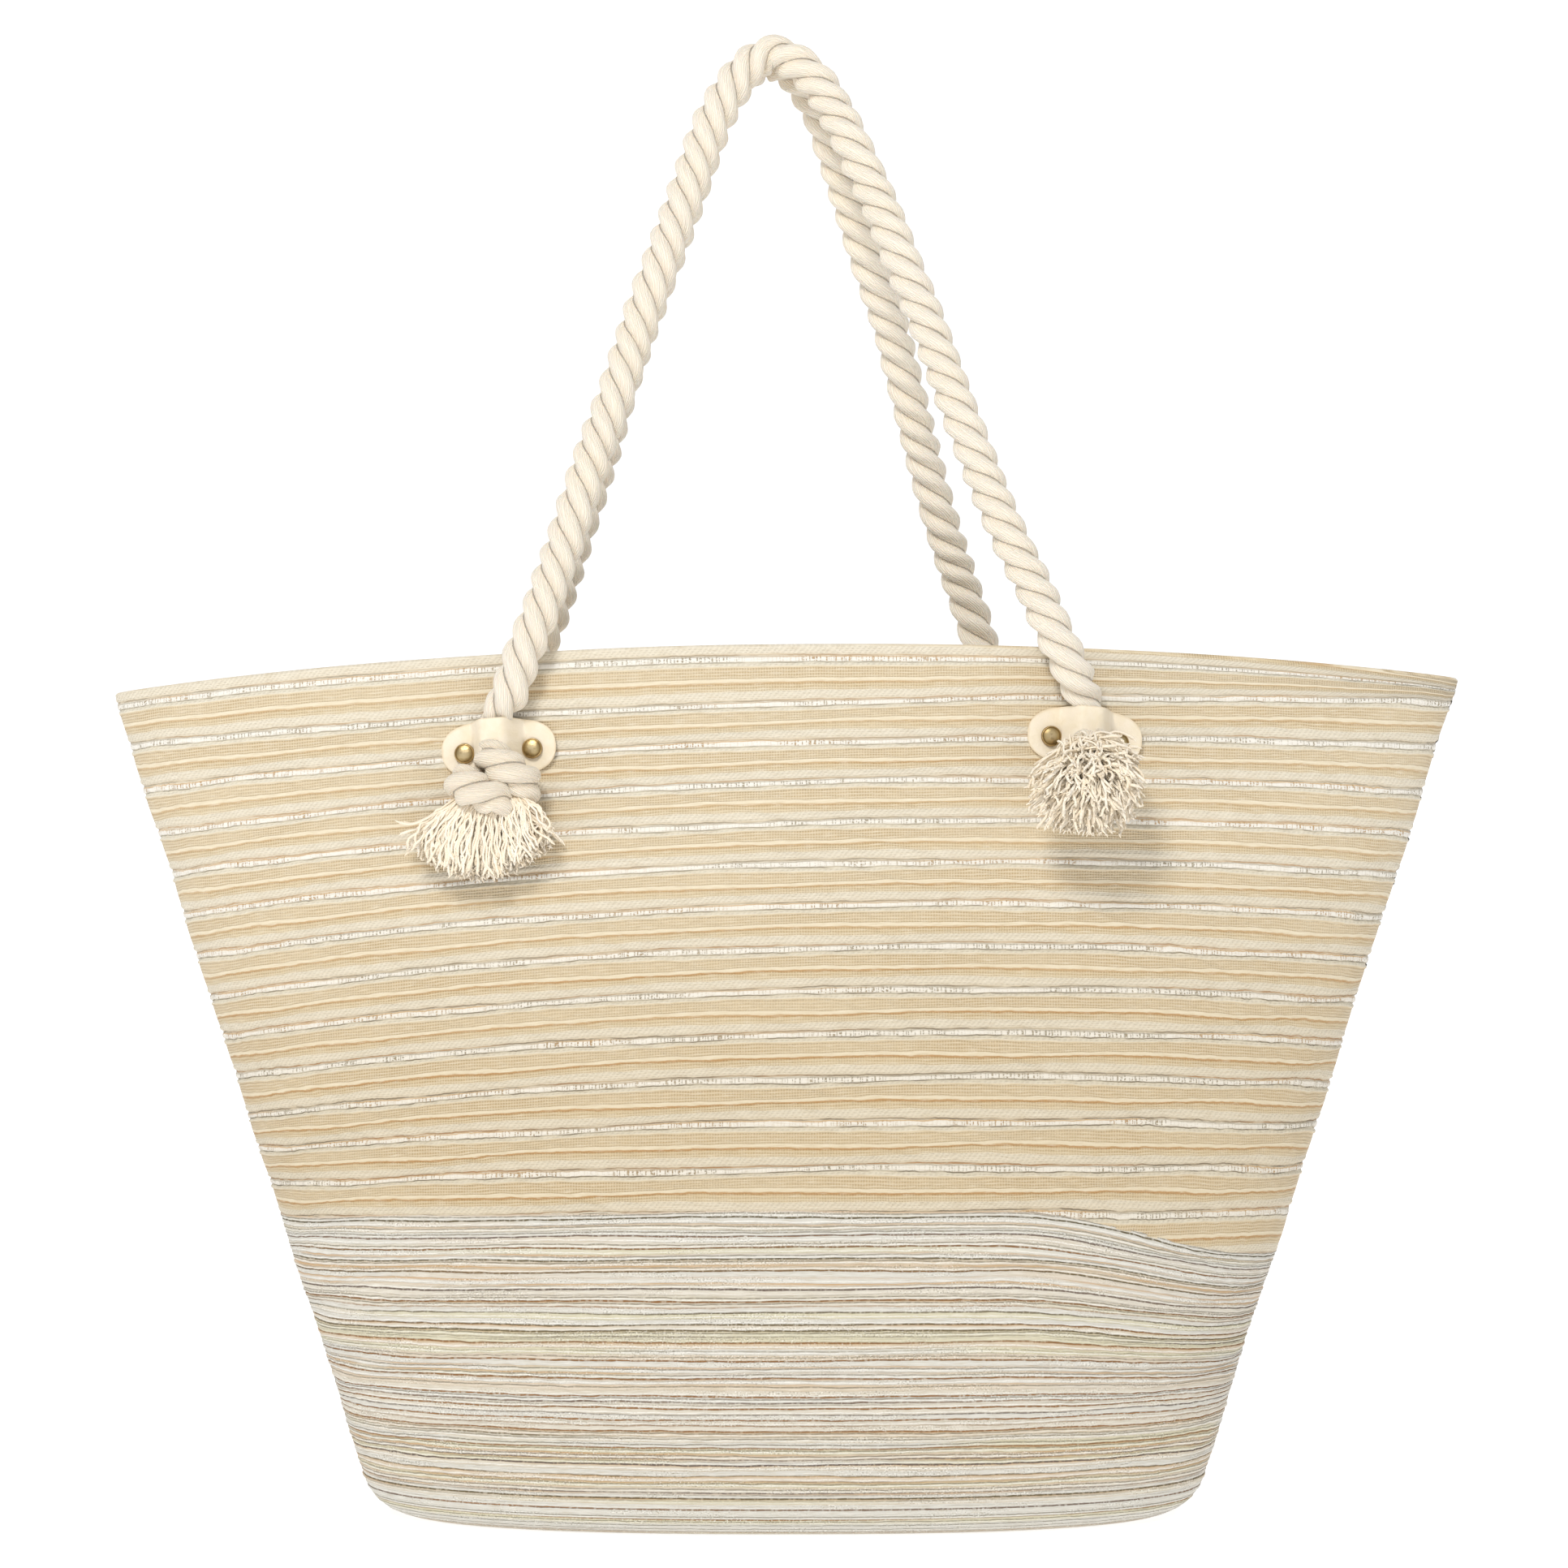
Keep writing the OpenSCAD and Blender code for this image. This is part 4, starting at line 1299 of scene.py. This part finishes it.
def narrow_strip_material():
    """Many fine cords in creams, straw and peach, with orange threads and dark lines between, the dark
    lines partly threads and partly painted shade.
    """
    s = Shader("woven_straw_narrow", 0.78, sheen=0.12)
    number, part, along = strip_places(s)
    run = s.number("run")
    row = number + part
    choice = s.random(number * 1.7)
    choice = (streaks(s, along, number, 190.0, 1.0) - 0.5).times_plus(0.5, choice)
    shade = s.ramp(choice, [
        (0.00, colour(220, 213, 199)), (0.30, colour(218, 210, 194)), (0.36, colour(215, 209, 182)),
        (0.48, colour(214, 207, 178)), (0.54, colour(218, 215, 206)), (0.82, colour(214, 211, 202)),
        (0.88, colour(217, 204, 185)), (1.00, colour(215, 200, 177)),
    ])
    fibre = s.noise(s.vector(run * 0.14, row * 9.0, 2.0))
    shade = s.mix(s.rescale(fibre, 0.46, 0.72, 0.0, 0.50), shade, colour(190, 175, 146))
    shade = s.mix(s.rescale(fibre, 0.50, 0.30, 0.0, 0.45), shade, colour(240, 235, 222))

    # An orange wash on some rows
    wash = s.math("FRACT", row + 0.02)
    orange_row = s.rescale(s.random(number * 4.7), 0.50, 0.62)
    orange = s.rescale(wash, 0.0, 0.55, 1.0, 0.0) * orange_row
    faint = s.rescale(streaks(s, along, number, 90.0, 9.0), 0.38, 0.60, 0.20, 0.80)
    shade = s.mix(orange * faint, shade, colour(196, 152, 96))

    # Pale, grey and dark threads; the dark ones lie in the grooves between cords and are partly painted
    # shade
    pale, edge = thread_lines(s, row, run, along, 2.0, 0.33, 0.55, 0.14)
    shade = s.mix(pale * 0.75, shade, colour(246, 243, 234))
    grey, edge = thread_lines(s, row, run, along, 3.0, 0.62, 0.70, 0.13)
    shade = s.mix(grey * 0.70, shade, colour(136, 126, 104))
    # Dark lines in the grooves between cords: dyed threads and painted shade together
    dark, edge = thread_lines(s, row, run, along, 4.0, 0.0, 0.58, 0.18)
    tint = s.ramp(streaks(s, along, edge, 220.0, 7.0).times_plus(0.4, s.random(edge * 2.3)), [
        (0.00, colour(104, 94, 68)), (0.42, colour(120, 106, 76)), (0.50, colour(146, 106, 66)),
        (0.80, colour(162, 118, 72)), (0.88, colour(126, 108, 94)), (1.00, colour(114, 100, 90)),
    ])
    shade = s.mix(dark, shade, tint)

    # Dark specks and bright glints
    speck = s.noise(s.vector(run * 1.4, row * 4.0, 4.0), detail=1.0)
    some = s.rescale(streaks(s, along, number, 50.0, 8.0), 0.46, 0.60)
    specks = s.rescale(speck, 0.60, 0.68) * (some * 0.6)
    shade = s.mix(specks, shade, colour(122, 112, 88))
    glints = s.rescale(speck, 0.38, 0.32) * some
    shade = s.mix(glints * 0.7, shade, colour(250, 248, 240))

    height = fibre.times_plus(-0.6, pale * 0.3) - s.math("MAXIMUM", dark, grey) * 0.8
    s.bump(height, 0.4)
    return s.paint(shade)


def rope_material(name, tone):
    """Soft cotton rope: fine yarns that twist round each strand, with painted shade in the grooves
    between strands.
    """
    s = Shader(name, 0.92, sheen=0.25, soft=0.25)
    yarn, run, groove_shade = s.number("yarn"), s.number("run"), s.number("groove_shade")
    fuzz = s.noise(s.vector(yarn * 0.8, run * 0.25, 1.0), detail=4.0)
    lines = waves(s, fuzz.times_plus(1.1, yarn), 0.95)
    shade = s.mix(s.rescale(lines, 0.45, 1.0, 0.0, 0.24), tone, colour(216, 200, 172))
    patch = s.noise(s.vector(run * 0.02, 3.0, 1.0))
    shade = s.mix(s.rescale(patch, 0.4, 0.65, 0.0, 0.2), shade, colour(246, 234, 210))
    # Painted shade in the grooves between the strands
    shade = s.mix(groove_shade * 0.25, shade, colour(230, 206, 166))
    s.bump(lines.times_plus(-0.8, fuzz * 0.8), 0.3)
    return s.paint(shade)


def yarn_material():
    """Loose cotton yarns, each a little different, with painted shade where they leave the knot."""
    s = Shader("cotton_yarn", 0.95, sheen=0.25)
    tone, part = s.number("tone"), s.number("part")
    shade = s.mix(tone, colour(253, 245, 230), colour(250, 236, 212))
    twist = waves(s, part.times_plus(34.0, tone * 9.0), 1.0)
    shade = s.mix(s.rescale(twist, 0.5, 1.0, 0.0, 0.15), shade, colour(232, 214, 182))
    # Painted shade on the yarns where they leave the knot
    shade = s.mix(s.rescale(part, 0.0, 0.30, 0.20, 0.0), shade, colour(220, 200, 164))
    s.bump(twist, 0.08)
    return s.paint(shade)


def leather_material():
    """Smooth cream leather, browner along its cut edges, with a fine grain and soft creases that carry
    faint painted shade.
    """
    s = Shader("cream_leather", 0.55, sheen=0.05)
    across, upward, margin = s.number("across"), s.number("upward"), s.number("margin")
    place = s.vector(across, upward, 1.5)
    mottle = s.noise(place, scale=0.16, detail=3.0)
    shade = s.mix(s.rescale(mottle, 0.35, 0.7), colour(242, 231, 211), colour(238, 225, 199))
    shade = s.mix(s.rescale(margin, 0.1, 1.1, 0.55, 0.0), shade, colour(222, 202, 168))
    grain = s.noise(place, scale=1.5, detail=4.0)
    crease = s.rescale(s.noise(place, scale=0.3, detail=1.0), 0.52, 0.62)
    # Faint painted shade in the creases
    shade = s.mix(crease * 0.05, shade, colour(210, 188, 150))
    s.bump(crease.times_plus(-0.4, grain), 0.12)
    return s.paint(shade)


def rivet_material():
    """Aged brass: a painted highlight makes the dome bright, the groove and the outer edge are darker
    with patina and painted shade, and the rim is rubbed.
    """
    s = Shader("antique_brass_rivet", 0.36, metallic=1.0)
    radius = s.number("radius")
    spots = s.noise(s.place(), scale=0.7, detail=3.0)
    # Pale stops near the middle are a painted highlight on the dome; the dark stops at the groove and
    # outer edge are patina and painted shade
    shade = s.ramp(spots.times_plus(0.3, radius) * 0.243, [
        (0.00, colour(212, 194, 156)), (0.45, colour(198, 178, 136)), (0.70, colour(168, 146, 102)),
        (0.83, colour(118, 94, 58)), (0.88, colour(142, 116, 72)), (0.94, colour(198, 172, 122)),
        (1.00, colour(146, 118, 76)),
    ])
    shade = s.mix(s.rescale(spots, 0.5, 0.75, 0.0, 0.4), shade, colour(112, 82, 46))
    s.put(s.surface.inputs["Roughness"], spots.times_plus(0.3, 0.22))
    s.bump(spots, 0.1)
    return s.paint(shade)


def brass_material():
    """Plain antique brass for the zip and the snap, rubbed in some places."""
    s = Shader("antique_brass", 0.35, metallic=1.0)
    place = s.place()
    worn = s.noise(place, scale=0.45, detail=4.0)
    shade = s.mix(s.rescale(worn, 0.38, 0.68), colour(206, 170, 102), colour(142, 108, 62))
    s.put(s.surface.inputs["Roughness"], worn.times_plus(0.35, 0.2))
    s.bump(s.noise(place, scale=2.5, detail=2.0), 0.05)
    return s.paint(shade)


def woven_cloth_material(name, light, dark, pitch):
    """Plain weave over and under, with threads of uneven thickness."""
    s = Shader(name, 0.88, sheen=0.2)
    x, y, z = s.separate(s.place())
    across = x + y
    upward = z + y * 0.35
    slub = s.noise(s.vector(across * 0.05, upward * 0.9, 1.0))
    weave = waves(s, across, pitch) * waves(s, upward, pitch)
    shade = s.mix(s.rescale(slub, 0.38, 0.66), light, dark)
    shade = s.mix(weave * 0.35, shade, dark)
    s.bump(slub - weave, 0.25)
    return s.paint(shade)


def board_material():
    """Pressed board with paler and darker flakes."""
    s = Shader("pressed_board", 0.9)
    flakes = s.noise(s.place(), scale=0.25, detail=5.0, roughness=0.7)
    shade = s.mix(s.rescale(flakes, 0.35, 0.7), colour(198, 172, 132), colour(160, 132, 96))
    s.bump(flakes, 0.2)
    return s.paint(shade)


def floor_material():
    """White paper that glows a little, so that it looks white with a faint shadow."""
    s = Shader("studio_paper", 0.95)
    paper = s.noise(s.place(), scale=0.02, detail=2.0)
    s.surface.inputs["Specular IOR Level"].default_value = 0.0
    s.surface.inputs["Emission Color"].default_value = (1.0, 1.0, 1.0, 1.0)
    s.surface.inputs["Emission Strength"].default_value = 0.72
    return s.paint(s.mix(paper, colour(202, 202, 202), colour(198, 198, 199)))


# ---- Putting it together -----------------------------------------------------------------

WIDE_STRIP = wide_strip_material()
NARROW_STRIP = narrow_strip_material()
ROPE_MATERIAL = rope_material("cotton_rope", colour(245, 236, 221))
# A darker copy of the rope for the knots, as painted shade
SHADED_KNOT_ROPE = rope_material("cotton_rope_knot_shaded", colour(238, 227, 209))
YARN_MATERIAL = yarn_material()
LEATHER = leather_material()
RIVET_BRASS = rivet_material()
BRASS = brass_material()
LINING = woven_cloth_material("lining_canvas", colour(240, 234, 220), colour(222, 210, 186), 0.9)
TAPE = woven_cloth_material("zip_tape_weave", colour(226, 214, 190), colour(204, 188, 158), 0.7)
WEBBING = woven_cloth_material("webbing_weave", colour(234, 224, 202), colour(210, 194, 164), 1.6)
BOARD = board_material()

finish_piece(make_upper_wall(), WIDE_STRIP, ["upper_wall"])
finish_piece(make_lower_wall(), NARROW_STRIP, ["lower_wall"])
finish_piece(make_base(), NARROW_STRIP, ["base_panel"])
facing = finish_piece(make_facing(), WIDE_STRIP, ["inner_facing"])
lining_wall = finish_piece(make_lining_wall(), LINING, ["lining_wall"])
lining_floor = finish_piece(make_lining_floor(), LINING, ["lining_floor"])
slip_pocket = finish_piece(make_pocket("slip_pocket_cloth", -1, *SLIP_POCKET, seed=44), LINING,
                           ["slip_pocket"])
zip_pocket = finish_piece(make_pocket("zip_pocket_cloth", 1, *ZIP_POCKET, seed=45), LINING,
                          ["zip_pocket_bag"])
finish_piece(make_zip_tape("upper_zip_tape", 1), TAPE, ["zip_tape_upper"])
finish_piece(make_zip_tape("lower_zip_tape", -1), TAPE, ["zip_tape_lower"])
finish_piece(make_rivet_caps(), RIVET_BRASS, ["rivet_caps"])
finish_piece(make_backing_pads(), WEBBING, ["backing_pads"])

for seed, place in enumerate(PLACES):
    finish_piece(make_patch(place, 80 + seed), LEATHER, [place + "_patch"])
    make_knot(place, mirrored=place in ("front_right", "back_right"), seed=seed + 1)
    make_tassel(place, TASSEL_SHIFT[place], 90 + seed, flipped=place == "front_right")

make_handle("front", FRONT_ROUTE, "front_left", "front_right", 1)
make_handle("back", BACK_ROUTE, "back_left", "back_right", 2)

CAD_LOOKS = {
    "base_board": BOARD, "zip_teeth": BRASS, "zip_stops": BRASS, "zip_slider": BRASS,
    "zip_pull": BRASS, "snap_socket_half": BRASS, "snap_stud_half": BRASS, "rivet_backs": BRASS,
}
for node, material in CAD_LOOKS.items():
    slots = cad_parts[node].data.materials
    slots.clear()
    slots.append(material)


def add_floor():
    """A wide sheet of paper that lies flat under the bag and curves up far behind it."""
    reach, flat_end, bend, top = 20000.0, 6000.0, 2500.0, 12000.0
    profile = [(-reach, 0.0), (flat_end, 0.0)]
    for angle in np.radians(np.arange(10, 91, 10)):
        profile.append((flat_end + bend * math.sin(angle), bend * (1 - math.cos(angle))))
    profile.append((flat_end + bend, top))
    points = [(x, y, z) for y, z in profile for x in (-reach, reach)]
    paper = add_mesh("studio_paper", points, grid_faces(len(profile), 2, inward=True))
    paper.data.materials.append(floor_material())


add_floor()
